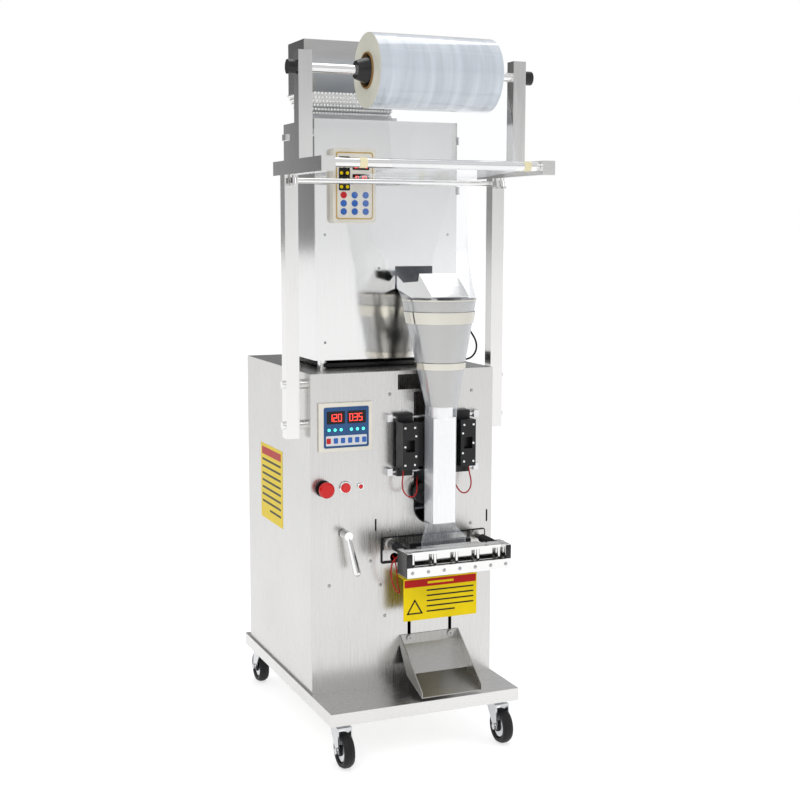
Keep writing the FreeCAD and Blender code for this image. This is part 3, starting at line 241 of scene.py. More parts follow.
def tinted(tree, source, dark, light, target):
    """A mask turned into a colour between two tints."""
    mix = tree.nodes.new("ShaderNodeMix")
    mix.data_type = "RGBA"
    mix.inputs["A"].default_value = (*dark, 1)
    mix.inputs["B"].default_value = (*light, 1)
    tree.links.new(source, mix.inputs["Factor"])
    tree.links.new(mix.outputs["Result"], target)


def bumped(tree, shader, source, strength, depth):
    bump = tree.nodes.new("ShaderNodeBump")
    bump.inputs["Strength"].default_value = strength
    bump.inputs["Distance"].default_value = depth
    tree.links.new(source, bump.inputs["Height"])
    tree.links.new(bump.outputs["Normal"], shader.inputs["Normal"])


def steel(name, tint, gloss, stretch, strength=0.12, cloud=4.0):
    """Drawn or polished steel: gloss is its lowest and highest roughness."""
    material, shader, tree = new_finish(name)
    shader.inputs["Metallic"].default_value = 1.0
    lines = tree.nodes.new("ShaderNodeGroup")
    lines.node_tree = DRAWN_LINES
    lines.inputs["Stretch"].default_value = stretch
    lines.inputs["Cloud Size"].default_value = cloud
    tinted(tree, lines.outputs["Clouds"], [c * 0.90 for c in tint], [min(1, c * 1.06) for c in tint],
           shader.inputs["Base Color"])
    ranged(tree, lines.outputs["Lines"], gloss[0], gloss[1], shader.inputs["Roughness"])
    bumped(tree, shader, lines.outputs["Lines"], strength, 0.0004)
    return material


def moulded(name, tint, gloss, grain=900.0, strength=0.15, glow=None, shine=0.5):
    """Plastic, rubber or paint with fine pebbling; glow is an emission strength for lit pieces."""
    material, shader, tree = new_finish(name)
    shader.inputs["Specular IOR Level"].default_value = shine
    pebbles = tree.nodes.new("ShaderNodeGroup")
    pebbles.node_tree = PEBBLING
    pebbles.inputs["Grain Size"].default_value = grain
    tinted(tree, pebbles.outputs["Wear"], [c * 0.85 for c in tint], [min(1, c * 1.12) for c in tint],
           shader.inputs["Base Color"])
    ranged(tree, pebbles.outputs["Wear"], gloss[0], gloss[1], shader.inputs["Roughness"])
    bumped(tree, shader, pebbles.outputs["Grain"], strength, 0.0002)
    if glow:
        shader.inputs["Emission Color"].default_value = (*tint, 1)
        shader.inputs["Emission Strength"].default_value = glow
    return material


# %% [markdown]
# The cabinet is satin sheet with faint upright lines, the weigher above it is brighter and nearly a mirror,
# and rods, bars and jaw strips are ground and polished. Each could be written out in full, but they differ
# only in tint, gloss and grain, so two functions make them all and each finish is one call.

# %% Steels and plastics
UPRIGHT, LEVEL, LENGTHWAYS = (900, 900, 12), (12, 900, 900), (900, 12, 900)
SATIN = steel("satin sheet", (0.62, 0.615, 0.60), (0.20, 0.32), UPRIGHT, 0.05)
SATIN_TRAY = steel("satin tray", (0.70, 0.695, 0.68), (0.22, 0.34), LEVEL, 0.05)
CHUTE = steel("chute sheet", (0.40, 0.395, 0.38), (0.24, 0.38), UPRIGHT, 0.08)
BRIGHT = steel("bright sheet", (0.80, 0.80, 0.79), (0.07, 0.15), UPRIGHT, 0.03, 2.5)
BRIGHT_SIDE = steel("hopper sheet", (0.62, 0.615, 0.60), (0.12, 0.24), LEVEL, 0.05)
TUBE_STEEL = steel("square tube", (0.80, 0.795, 0.78), (0.10, 0.20), UPRIGHT, 0.04)
ARM_STEEL = steel("arm tube", (0.80, 0.795, 0.78), (0.10, 0.20), LENGTHWAYS, 0.04)
GROUND = steel("ground bar", (0.80, 0.80, 0.79), (0.06, 0.14), LEVEL, 0.03)
# Screw heads get a tint far darker than the steel round them. This is painted shade, standing in for the dark
# shadow outline round each head.
SCREW_PAINTED_SHADE = steel("screw head", (0.42, 0.42, 0.42), (0.18, 0.30), (80, 80, 80), 0.05, 40.0)
FUNNEL = steel("spun funnel", (0.46, 0.455, 0.44), (0.16, 0.26), (12, 12, 900), 0.02)
# The hoop tint is warm and darker than the other steels. This is painted reflection of gold and dark bands.
HOOP_REFLECTION_TINT = steel("polished hoop", (0.62, 0.60, 0.54), (0.03, 0.07), (12, 12, 900), 0.02)
FORMER = steel("forming tube", (0.92, 0.92, 0.92), (0.26, 0.36), UPRIGHT, 0.03)
ZINC = steel("zinc plate", (0.62, 0.63, 0.64), (0.16, 0.28), (60, 60, 60), 0.05, 30.0)
MACHINED = steel("machined aluminium", (0.72, 0.72, 0.73), (0.20, 0.32), LEVEL, 0.05)
ANODISED = moulded("black anodised", (0.006, 0.006, 0.007), (0.28, 0.42), 900.0, 0.05, shine=0.35)
OXIDE = steel("black oxide", (0.10, 0.10, 0.10), (0.20, 0.32), LENGTHWAYS, 0.05)
RUBBER = moulded("black rubber", (0.007, 0.007, 0.008), (0.45, 0.62), 600.0, 0.25, shine=0.3)
BLACK = moulded("black moulding", (0.006, 0.006, 0.007), (0.18, 0.32), shine=0.4)
CREAM = moulded("cream moulding", (0.72, 0.69, 0.61), (0.28, 0.42), shine=0.3)
GOLD = moulded("gold border", (0.50, 0.34, 0.10), (0.25, 0.40), shine=0.3)
DARK_GLASS = moulded("display window", (0.006, 0.005, 0.006), (0.06, 0.12), 900.0, 0.02, shine=0.3)
BLUE_PANEL = moulded("blue panel", (0.025, 0.08, 0.21), (0.22, 0.34), 900.0, 0.05, shine=0.25)
PALE_PANEL = moulded("pale key field", (0.62, 0.64, 0.66), (0.30, 0.42), 900.0, 0.05, shine=0.3)
BLUE_KEY = moulded("blue key", (0.03, 0.12, 0.42), (0.30, 0.42), 900.0, 0.08, shine=0.3)
RED_KEY = moulded("red key", (0.50, 0.012, 0.015), (0.30, 0.42), 900.0, 0.08, shine=0.3)
RED_BUTTON = moulded("red button", (0.55, 0.004, 0.004), (0.14, 0.24), 900.0, 0.04, shine=0.4)
RED_LENS = moulded("red lens", (0.50, 0.006, 0.006), (0.10, 0.18), 900.0, 0.03, glow=0.25)
RED_DIGIT = moulded("red digit", (1.0, 0.06, 0.04), (0.3, 0.4), 900.0, 0.02, glow=2.0)
GREEN_DIGIT = moulded("green digit", (0.08, 0.80, 0.55), (0.3, 0.4), 900.0, 0.02, glow=1.2)
MOTOR_PAINT = moulded("motor paint", (0.14, 0.16, 0.18), (0.35, 0.50), 300.0, 0.3)
YELLOW = moulded("yellow sheet", (0.80, 0.60, 0.0), (0.28, 0.38), 900.0, 0.03, shine=0.15)
RED_PRINT = moulded("red print", (0.45, 0.008, 0.006), (0.28, 0.38), 900.0, 0.03, shine=0.15)
DARK_PRINT = moulded("dark print", (0.015, 0.013, 0.01), (0.30, 0.42), 900.0, 0.03, shine=0.15)
KRAFT = moulded("wound paper", (0.28, 0.16, 0.06), (0.70, 0.90), 220.0, 0.4, shine=0.2)
RED_SLEEVE = moulded("red wire sleeve", (0.38, 0.006, 0.006), (0.35, 0.48), 1500.0, 0.2, shine=0.3)
BLACK_SLEEVE = moulded("black cable sleeve", (0.008, 0.008, 0.008), (0.35, 0.50), 1500.0, 0.2, shine=0.3)
TAPE = moulded("tape", (0.72, 0.66, 0.42), (0.35, 0.50), 500.0, 0.2, shine=0.3)
print(len(bpy.data.materials), "finishes so far")

# %% [markdown]
# Clear film shows mostly at its edges and where it turns away, so its alpha grows with the facing angle. The
# wound film is hundreds of such layers: it looks milky, with bright bands round it and rings on its ends.


# %% Film finishes
def clear_film():
    material, shader, tree = new_finish("clear film")
    facing = tree.nodes.new("ShaderNodeLayerWeight")
    facing.inputs["Blend"].default_value = 0.35
    wrinkles = tree.nodes.new("ShaderNodeTexNoise")
    wrinkles.inputs["Scale"].default_value = 9.0
    place = tree.nodes.new("ShaderNodeTexCoord")
    tree.links.new(place.outputs["Object"], wrinkles.inputs["Vector"])
    shader.inputs["Base Color"].default_value = (0.86, 0.91, 0.97, 1)
    ranged(tree, wrinkles.outputs["Fac"], 0.05, 0.14, shader.inputs["Roughness"])
    spread = tree.nodes.new("ShaderNodeMapRange")
    spread.inputs["To Min"].default_value = 0.05
    spread.inputs["To Max"].default_value = 0.55
    tree.links.new(facing.outputs["Facing"], spread.inputs["Value"])
    tree.links.new(spread.outputs["Result"], shader.inputs["Alpha"])
    bumped(tree, shader, wrinkles.outputs["Fac"], 0.15, 0.003)
    return material


def wound_film():
    material, shader, tree = new_finish("wound film")
    bands = tree.nodes.new("ShaderNodeGroup")
    bands.node_tree = DRAWN_LINES
    bands.inputs["Stretch"].default_value = (70, 5, 5)
    bands.inputs["Cloud Size"].default_value = 5.0
    tinted(tree, bands.outputs["Lines"], (0.30, 0.34, 0.38), (0.66, 0.70, 0.75), shader.inputs["Base Color"])
    ranged(tree, bands.outputs["Clouds"], 0.04, 0.12, shader.inputs["Roughness"])
    shader.inputs["Coat Weight"].default_value = 1.0
    shader.inputs["Coat Roughness"].default_value = 0.05
    bumped(tree, shader, bands.outputs["Lines"], 0.2, 0.001)
    return material


CLEAR_FILM = clear_film()
WOUND_FILM = wound_film()
ROLL_END = moulded("film roll end", (0.64, 0.63, 0.54), (0.40, 0.55), 700.0, 0.3, shine=0.3)

# %% [markdown]
# The frame's own parts keep their shapes and get their looks from this table. A part holds one material slot
# for each kind of stuff, so the finish goes into every slot of the part, and nothing about the mesh changes.

# %% Put finishes on the frame's own parts
FINISHES = {
    SATIN: "cabinet_shell front_panel cabinet_rear_door jaw_bearing_plate",
    CHUTE: "product_chute",
    SATIN_TRAY: "base_tray",
    BRIGHT: "weigher_housing weigher_front_cover weigher_rear_door discharge_spout",
    BRIGHT_SIDE: "supply_hopper weigh_bucket bucket_gate vibrating_trough",
    TUBE_STEEL: "frame_posts",
    ARM_STEEL: "frame_arms",
    GROUND: "frame_bolts roll_shaft front_film_bar rear_film_bar front_jaw clamp_lever",
    OXIDE: "jaw_guide_rods",
    FUNNEL: "forming_cone",
    FORMER: "forming_tube",
    ZINC: "caster_plates crank_disc front_left_caster_fork front_right_caster_fork rear_left_caster_fork "
          "rear_right_caster_fork",
    MACHINED: "seal_guide_rods load_cell hopper_gate",
    ANODISED: "left_sealer right_sealer rear_jaw",
    RUBBER: "front_left_caster_wheel front_right_caster_wheel rear_left_caster_wheel rear_right_caster_wheel "
            "left_pull_wheel right_pull_wheel",
    BLACK: "roll_collars",
    CREAM: "control_panel weigher_controller",
    RED_BUTTON: "emergency_stop",
    RED_LENS: "power_switch",
    MOTOR_PAINT: "gearmotor feed_stepper vibrator_coil electrical_box",
    YELLOW: "notice_plate",
    KRAFT: "paper_core",
}
for finish, names in FINISHES.items():
    for name in names.split():
        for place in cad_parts[name].material_slots:
            place.material = finish
print("finishes on", sum(len(names.split()) for names in FINISHES.values()), "parts")

# %% [markdown]
# ## Wires
# Three red heater wires and one black sensor cable hang in short loops. A string of straight tubes would show
# its corners, so each is a curve that is pulled towards its control points without passing through them,
# which gives the soft line of a real wire.

# %% Wires
WIRES = {
    "left_seal_wire": ("left_seal", 1.6, 0.1674, RED_SLEEVE, "red_wire",
                       [(-14, -30, 499.5), (-15, -31, 484), (-19, -34, 467), (-17, -38, 450), (-6, -41, 438),
                        (7, -41, 438), (15, -38, 447), (19, -31, 458), (22, -21, 467), (29, -9, 474),
                        (37, 6, 478), (42, 22, 476)]),
    "right_seal_wire": ("right_seal", 1.6, 0.1674, RED_SLEEVE, "red_wire",
                        [(146, -30, 499.5), (147, -31, 484), (151, -34, 467), (149, -38, 450),
                         (138, -41, 438), (125, -41, 438), (117, -38, 447), (113, -31, 458),
                         (110, -21, 467), (103, -9, 474), (95, 6, 478), (90, 22, 476)]),
    "jaw_wire": ("rear_seal_jaw", 1.6, 0.2469, RED_SLEEVE, "red_wire",
                 [(-17.3, -48, 311), (-31, -48, 310), (-44, -49, 303), (-51, -51, 289), (-53, -53, 272),
                  (-51, -55, 255), (-46, -56, 239), (-38, -54, 229), (-30, -48, 224), (-26, -38, 226),
                  (-25, -29, 233), (-25, -22, 246), (-24, -18, 262), (-24, -13, 277), (-23, -4, 289),
                  (-22, 9, 295), (-22, 24, 297), (-21, 40, 296)]),
    "sensor_cable": (ROOT, 2.2, 0.2544, BLACK_SLEEVE, "black_cable",
                     [(140, 128, 845), (140, 110, 846), (141, 92, 845), (147, 76, 840), (158, 62, 828),
                      (173, 52, 811), (189, 46, 791), (200, 43, 769), (199, 44, 748), (188, 49, 733),
                      (173, 55, 730), (160, 60, 723), (152, 64, 709), (150, 66, 692)]),
}
for node, (body, radius, length, finish, slot, route) in WIRES.items():
    curve = bpy.data.curves.new(node + "_line", "CURVE")
    curve.dimensions = "3D"
    curve.bevel_depth = radius * MM
    curve.bevel_resolution = 3
    curve.use_fill_caps = True
    curve.materials.append(finish)
    spline = curve.splines.new("NURBS")
    spline.points.add(len(route) - 1)
    for point, place in zip(spline.points, route):
        point.co = (*at(*place), 1)
    spline.order_u = 3
    spline.use_endpoint_u = True
    wire = bpy.data.objects.new(node + "_sleeve", curve)
    bpy.context.scene.collection.objects.link(wire)
    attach(wire, body)
    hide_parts(node)
    print(node, length, "m")

# %% [markdown]
# ## Film
# One sheet of film runs the whole way: off the reel, under the front bar, over the rear bar, down to the
# funnel's rim, round the funnel and the tube, and flat between the jaws. The mesh is a grid. Each row is the
# film's width laid along an outline, starting from the middle of the front: a straight line at the bars, part
# of a circle at the funnel, a square at the tube. Rows between two outlines are blended.

# %% Film rows
FILM_LEFT, FILM_RIGHT, COLUMNS = -106, 177, 60
HALF_WIDTH = (FILM_RIGHT - FILM_LEFT) / 2
SHAFT_Y, SHAFT_Z, ROLL_R = -46, 1358, 78.5


def straight_row(y, z):
    step = (FILM_RIGHT - FILM_LEFT) / COLUMNS
    return [Vector((FILM_LEFT + i * step, y, z)) for i in range(COLUMNS + 1)]


def outline_row(half, z):
    """The film's width laid both ways round half an outline, which starts at the front's middle."""
    lengths = [(b - a).length for a, b in zip(half, half[1:])]
    scale = min(1.0, sum(lengths) / HALF_WIDTH)
    row = []
    for i in range(COLUMNS + 1):
        offset = (2 * i / COLUMNS - 1) * HALF_WIDTH * scale
        left = abs(offset)
        spot = half[-1]
        for a, b, length in zip(half, half[1:], lengths):
            if left <= length:
                spot = a.lerp(b, left / length)
                break
            left -= length
        row.append(Vector((BAG_X + math.copysign(spot.x, offset), spot.y, z)))
    return row


def round_half(y, radius, fin=0.0):
    points = [Vector((radius * math.sin(a), y - radius * math.cos(a)))
              for a in (math.pi * i / 48 for i in range(48))]
    return points + [Vector((0.4, y + radius)), Vector((0.4, y + radius + fin))] if fin else points


def square_half(half_x, front, back, fin):
    return [Vector((0, front)), Vector((half_x, front)), Vector((half_x, back)), Vector((0.4, back)),
            Vector((0.4, back + fin))]


def blended(first, second, steps):
    """Rows from just after the first to the second."""
    return [[a.lerp(b, i / steps) for a, b in zip(first, second)] for i in range(1, steps + 1)]


def turned_rows(y, z, radius, start, end, steps):
    """Straight rows round a bar, between two angles measured from the rear towards the top."""
    rows = []
    for i in range(steps + 1):
        angle = math.radians(start + (end - start) * i / steps)
        rows.append(straight_row(y + radius * math.cos(angle), z + radius * math.sin(angle)))
    return rows


FRONT_BAR = (-178, 1160, 11.2)
REAR_BAR = (54, 1131, 7.2)
rows = turned_rows(SHAFT_Y, SHAFT_Z, ROLL_R + 1.2, 150, 162, 4)
rows += blended(rows[-1], straight_row(FRONT_BAR[0] - 10.7, FRONT_BAR[1] + 3.4), 8)
rows += turned_rows(*FRONT_BAR, 163, 268, 8)
rows += blended(rows[-1], straight_row(REAR_BAR[0], REAR_BAR[1] + 7.2), 8)
rows += turned_rows(*REAR_BAR, 88, -35, 8)
FOOT_Y, FOOT_Z, FOOT_WRAP = -57, 641, 36.0
RIM_Y, RIM_Z, RIM_WRAP = -38, 876, 82.8
rows += blended(rows[-1], outline_row(round_half(RIM_Y, RIM_WRAP), RIM_Z), 16)
WRAP_ROWS, FIN = 12, 6
for i in range(1, WRAP_ROWS + 1):
    up = 1 - i / WRAP_ROWS
    wrap = round_half(FOOT_Y + (RIM_Y - FOOT_Y) * up, FOOT_WRAP + (RIM_WRAP - FOOT_WRAP) * up,
                      FIN if up < 0.3 else 0)
    rows.append(outline_row(wrap, FOOT_Z + (RIM_Z - FOOT_Z) * up))
SLEEVE = square_half(28.6, -75.6, -26.4, 13)
FLAT = [Vector((0, -72.5)), Vector((54, -72.5)), Vector((54, -71.5)), Vector((0.4, -71.5))]
for outline, z, steps in ((SLEEVE, 607, 4), (SLEEVE, 380, 10), (FLAT, 345, 5), (FLAT, 270, 5)):
    rows += blended(rows[-1], outline_row(outline, z), steps)
print("film:", len(rows), "rows")

# %% [markdown]
# Each pair of rows is joined by a strip of faces. The sheet has no thickness of its own, as real film next to
# none, and its clear finish shows both sides.

# %% Film mesh
mesh = bmesh.new()
verts = [[mesh.verts.new(at(*spot)) for spot in row] for row in rows]
for upper, lower in zip(verts, verts[1:]):
    for i in range(COLUMNS):
        mesh.faces.new((upper[i], lower[i], lower[i + 1], upper[i + 1]))
film_area = sum(face.calc_area() for face in mesh.faces)
data = bpy.data.meshes.new("film_web")
mesh.to_mesh(data)
mesh.free()
data.shade_smooth()
data.materials.append(CLEAR_FILM)
web = bpy.data.objects.new("film_web", data)
bpy.context.scene.collection.objects.link(web)
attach(web, ROOT)
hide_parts("packaging_film")

# %% [markdown]
# ## Reel
# The wound film is turned from an outline whose rim is very slightly barrel shaped and whose ends step in
# fine rings, as the edges of hundreds of layers do. A plain cylinder would mirror the room in one flat strip.
# The ends are a separate piece, because their finish is matt.

# %% Reel
REEL_AXIS = at(0, SHAFT_Y, SHAFT_Z)
mesh = bmesh.new()
END_GAP, CORE_R = 0.6, 38.3
wound_width = FILM_RIGHT - FILM_LEFT - 2 * END_GAP
crown = [(ROLL_R - 0.3 * abs(i / 6 - 1) ** 4, FILM_LEFT + END_GAP + wound_width * i / 12) for i in range(13)]
add_turned(mesh, [(40, FILM_LEFT + END_GAP)] + crown + [(40, FILM_RIGHT - END_GAP)], REEL_AXIS, (1, 0, 0), 96)
reel = finish_piece("wound_film", mesh, WOUND_FILM, "film_reel")
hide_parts("film_roll")
mesh = bmesh.new()
RINGS = 26
for face_x, out in ((FILM_LEFT, 1), (FILM_RIGHT, -1)):
    outline = []
    for i in range(RINGS + 1):
        radius = CORE_R + (ROLL_R - END_GAP - CORE_R) * i / RINGS
        outline.append((radius, face_x + out * (0.15 + 0.35 * (i % 2))))
    outline += [(ROLL_R - END_GAP, face_x + out * 0.9), (CORE_R, face_x + out * 0.9)]
    add_turned(mesh, outline, REEL_AXIS, (1, 0, 0), 72)
finish_piece("film_edges", mesh, ROLL_END, "film_reel", sharp=80)
print("reel is", 2 * ROLL_R, "mm across")

# %% [markdown]
# ## Funnel hoops
# Two polished hoops hold the film against the funnel. Their bright skin is a thin sleeve on the frame's own
# hoops, so they can be mirror bright while the funnel keeps its spun finish. The skin's warm, darker tint is
# painted reflection, standing in for the gold and dark bands that the polished hoops mirror.

# %% Funnel hoops
def funnel_at(z):
    """The funnel's centre and outer radius at a height."""
    up = (z - FOOT_Z) / (RIM_Z - FOOT_Z)
    return FOOT_Y + (RIM_Y - FOOT_Y) * up, 35 + 47 * up


def add_sleeve(mesh, low, high, inside, thick, segments=72):
    """A thin leaning sleeve round the funnel between two heights."""
    rings = []
    for i in range(segments):
        angle = 2 * math.pi * i / segments
        ring = []
        for z, out in ((low, inside), (high, inside), (high, inside + thick), (low, inside + thick)):
            y, radius = funnel_at(z)
            spot = at(BAG_X + (radius + out) * math.cos(angle), y + (radius + out) * math.sin(angle), z)
            ring.append(mesh.verts.new(spot))
        rings.append(ring)
    for i in range(segments):
        ring, following = rings[i], rings[(i + 1) % segments]
        for j in range(4):
            mesh.faces.new((ring[j], ring[(j + 1) % 4], following[(j + 1) % 4], following[j]))


mesh = bmesh.new()
for low, high in ((824, 849), (724, 738)):
    add_sleeve(mesh, low - 0.3, high + 0.3, 2.75, 0.5)
add_sleeve(mesh, 873.5, 876.2, 1.0, 0.6)
finish_piece("hoop_skins", mesh, HOOP_REFLECTION_TINT, ROOT)

# %% [markdown]
# ## Screws and dimples
# Screw heads, keys and the dimples of the hopper sheet repeat, so Geometry Nodes make them. The points come
# from a small mesh: loose points face the front, and the faces of a grid lend the dimples their direction.


# %% Geometry Nodes trees
def heads_tree(name, round_head):
    """Heads on points: a dome or a disc of a given radius and height, facing along each point's normal."""
    tree = bpy.data.node_groups.new(name, "GeometryNodeTree")
    for label, kind in (("Geometry", "NodeSocketGeometry"), ("Radius", "NodeSocketFloat"),
                        ("Height", "NodeSocketFloat"), ("Facing", "NodeSocketVector"),
                        ("Follow Normal", "NodeSocketBool"), ("Material", "NodeSocketMaterial")):
        tree.interface.new_socket(label, in_out="INPUT", socket_type=kind)
    tree.interface.new_socket("Geometry", in_out="OUTPUT", socket_type="NodeSocketGeometry")
    new, link = tree.nodes.new, tree.links.new
    given, out = new("NodeGroupInput"), new("NodeGroupOutput")
    scale = new("ShaderNodeCombineXYZ")
    if round_head:
        head = new("GeometryNodeMeshUVSphere")
        head.inputs["Segments"].default_value = 10
        head.inputs["Rings"].default_value = 6
        head.inputs["Radius"].default_value = 1.0
    else:
        head = new("GeometryNodeMeshCylinder")
        head.inputs["Vertices"].default_value = 20
        head.inputs["Radius"].default_value = 1.0
        head.inputs["Depth"].default_value = 2.0
    link(given.outputs["Radius"], scale.inputs["X"])
    link(given.outputs["Radius"], scale.inputs["Y"])
    link(given.outputs["Height"], scale.inputs["Z"])
    normal = new("GeometryNodeInputNormal")
    choose = new("GeometryNodeSwitch")
    choose.input_type = "VECTOR"
    link(given.outputs["Follow Normal"], choose.inputs["Switch"])
    link(given.outputs["Facing"], choose.inputs["False"])
    link(normal.outputs["Normal"], choose.inputs["True"])
    aim = new("FunctionNodeAlignRotationToVector")
    aim.axis = "Z"
    link(choose.outputs["Output"], aim.inputs["Vector"])
    copies = new("GeometryNodeInstanceOnPoints")
    link(given.outputs["Geometry"], copies.inputs["Points"])
    link(head.outputs["Mesh"], copies.inputs["Instance"])
    link(aim.outputs["Rotation"], copies.inputs["Rotation"])
    link(scale.outputs["Vector"], copies.inputs["Scale"])
    real, paint = new("GeometryNodeRealizeInstances"), new("GeometryNodeSetMaterial")
    link(copies.outputs["Instances"], real.inputs["Geometry"])
    link(real.outputs["Geometry"], paint.inputs["Geometry"])
    link(given.outputs["Material"], paint.inputs["Material"])
    link(paint.outputs["Geometry"], out.inputs["Geometry"])
    return tree


DOMES = heads_tree("domes_on_points", True)
DISCS = heads_tree("discs_on_points", False)
print(len(bpy.data.node_groups), "node groups")


def heads(name, tree, points, radius, height, material, body, facing=(0, -1, 0), faces=()):
    """Heads at points in metres, made plain mesh; with faces, each follows the surface's normal."""
    data = bpy.data.meshes.new(name + "_points")
    data.from_pydata(points, [], faces)
    carrier = bpy.data.objects.new(name + "_points", data)
    bpy.context.scene.collection.objects.link(carrier)
    modifier = carrier.modifiers.new("heads", "NODES")
    modifier.node_group = tree
    values = {"Radius": radius * MM, "Height": height * MM, "Facing": facing, "Follow Normal": bool(faces),
              "Material": material}
    for item in tree.interface.items_tree:
        if item.in_out == "INPUT" and item.name in values:
            modifier[item.identifier] = values[item.name]
    depsgraph = bpy.context.evaluated_depsgraph_get()
    plain = bpy.data.meshes.new_from_object(carrier.evaluated_get(depsgraph))
    bpy.data.objects.remove(carrier)
    plain.name = name
    plain.shade_smooth()
    plain.set_sharp_from_angle(angle=math.radians(40))
    made = bpy.data.objects.new(name, plain)
    bpy.context.scene.collection.objects.link(made)
    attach(made, body)
    print(name, len(points), "heads,", len(plain.polygons), "faces")
    return made


# %% [markdown]
# Dome screws hold the panel, the weigher's cover, the jaw strip, the chute, the sealers' carriers and the
# masts. Modelling each by hand would repeat the same dome, so each set is one list of places for the tree.

# %% Screws
PANEL_SCREWS = [(-35, 665), (167, 665), (-35, 358), (167, 358), (-81, 291), (-57, 234), (-46, 162),
                (-179, 244)]
COVER_SCREWS = [(-150, 1015), (150, 1015), (-20, 940), (150, 775), (-150, 775)]
heads("panel_screws", DOMES, [at(x, 0, z) for x, z in PANEL_SCREWS], 4.0, 2.2, SCREW_PAINTED_SHADE, ROOT)
heads("cover_screws", DOMES, [at(x, 98 if z > 992 else 100, z) for x, z in COVER_SCREWS], 3.2, 1.8, SCREW_PAINTED_SHADE,
      ROOT)
heads("strip_screws", DOMES, [at(JAW_X + 37.5 * i, -140, 292) for i in range(-3, 4)], 4.4, 2.0, SCREW_PAINTED_SHADE,
      "front_seal_jaw")
heads("chute_screws", DOMES, [at(x, -2.6, 104) for x in (14, 116)], 6.0, 4.0, BLACK, "chute")
CARRIER_SCREWS = [(-17, 511), (-17, 594), (6, 511), (6, 594), (-17, 552), (9, 530), (9, 575)]
for side, offset, facing in (("left_seal", 0, 1), ("right_seal", 132, -1)):
    spots = [at(offset + facing * x, -48, z) for x, z in CARRIER_SCREWS]
    heads(f"{side}_screws", DOMES, spots, 3.2, 2.6, GROUND, side)
post_screws = [at(247.5 * side, -46 + 11 * k, 1172) for side in (-1, 1) for k in (-1.9, 1.9)]
heads("mast_screws", DOMES, post_screws, 3.5, 2.5, SCREW_PAINTED_SHADE, ROOT, facing=(0, 0, 1))

# %% [markdown]
# The hopper is pressed sheet with rows of small dimples that keep sticky granules from clinging. They could
# be a bump in the finish, but they catch the light along the rim, so they are real domes on a grid laid over
# each sloping wall.

# %% Hopper dimples
PITCH = 8.5


def dimple_grid(corners, columns, rows_up):
    """Grid points and faces between four corners given in order round a face."""
    low_left, low_right, high_right, high_left = [at(*corner) for corner in corners]
    points = []
    for j in range(rows_up + 1):
        start = low_left.lerp(high_left, j / rows_up)
        end = low_right.lerp(high_right, j / rows_up)
        points += [start.lerp(end, i / columns) for i in range(columns + 1)]
    wide = columns + 1
    quads = [(j * wide + i, j * wide + i + 1, (j + 1) * wide + i + 1, (j + 1) * wide + i)
             for j in range(rows_up) for i in range(columns)]
    return points, quads


RIM_BOX, FOOT_BOX = (-173, 165, 52, 276), (-152, 179, 38, 266)
SLOPES = {
    "front": ((FOOT_BOX[0], FOOT_BOX[1]), (FOOT_BOX[2], FOOT_BOX[1]), (RIM_BOX[2], RIM_BOX[1]),
              (RIM_BOX[0], RIM_BOX[1])),
    "left": ((FOOT_BOX[0], FOOT_BOX[3]), (FOOT_BOX[0], FOOT_BOX[1]), (RIM_BOX[0], RIM_BOX[1]),
             (RIM_BOX[0], RIM_BOX[3])),
    "right": ((FOOT_BOX[2], FOOT_BOX[1]), (FOOT_BOX[2], FOOT_BOX[3]), (RIM_BOX[2], RIM_BOX[3]),
              (RIM_BOX[2], RIM_BOX[1])),
    "back": ((FOOT_BOX[2], FOOT_BOX[3]), (FOOT_BOX[0], FOOT_BOX[3]), (RIM_BOX[0], RIM_BOX[3]),
             (RIM_BOX[2], RIM_BOX[3])),
}
points, faces = [], []
for name, (a, b, c, d) in SLOPES.items():
    corners = ((*a, 1286), (*b, 1286), (*c, 1329), (*d, 1329))
    span = (Vector(c) - Vector(d)).length
    some, quads = dimple_grid(corners, round(span / PITCH), 5)
    faces += [tuple(index + len(points) for index in quad) for quad in quads]
    points += some
heads("hopper_dimples", DOMES, points, 3.4, 1.9, GROUND, ROOT, faces=faces)

# %% [markdown]
# ## Displays and keys
# Both keypads are printed sheets behind clear plastic. The digits are seven thin bars each, as on a real
# display, and show plain numbers. The keys carry no words.

# %% Digits
BARS = {"top": (0, 1, 1, 1), "upper_left": (0, 0.5, 0, 1), "upper_right": (1, 0.5, 1, 1),
        "middle": (0, 0.5, 1, 0.5), "lower_left": (0, 0, 0, 0.5), "lower_right": (1, 0, 1, 0.5),
        "bottom": (0, 0, 1, 0)}
LIT = {"0": "top upper_left upper_right lower_left lower_right bottom", "1": "upper_right lower_right",
       "2": "top upper_right middle lower_left bottom", "3": "top upper_right middle lower_right bottom",
       "5": "top upper_left middle lower_right bottom",
       "8": "top upper_left upper_right middle lower_left lower_right bottom"}


def add_number(mesh, text, x, z, wide, tall, y):
    """Digits as seven-bar figures from a lower left corner, standing just proud of a plane."""
    bar = wide * 0.09
    for index, figure in enumerate(text):
        left = x + index * wide * 1.55
        for name in LIT[figure].split():
            x_1, z_1, x_2, z_2 = BARS[name]
            low = at(left + x_1 * wide - bar, y, z + z_1 * tall - bar)
            high = at(left + x_2 * wide + bar, y + 0.4, z + z_2 * tall + bar)
            add_box(mesh, low, high)


def plates(name, boxes, material, thick=0.5, radius=2.0):
    """Thin rounded plates on a face: each is (x_1, x_2, z_1, z_2, y)."""
    mesh = bmesh.new()
    for x_1, x_2, z_1, z_2, y in boxes:
        add_plate(mesh, x_1, x_2, z_1, z_2, y, thick, min(radius, (z_2 - z_1) / 2.2, (x_2 - x_1) / 2.2))
    return finish_piece(name, mesh, material, ROOT)


# %% [markdown]
# The cabinet's control panel is a blue membrane sheet with two display windows, a row of lamps and a pale
# field of keys. Each layer is a thin plate that stands a fraction of a millimetre proud of the one below, so
# no two faces share a plane.

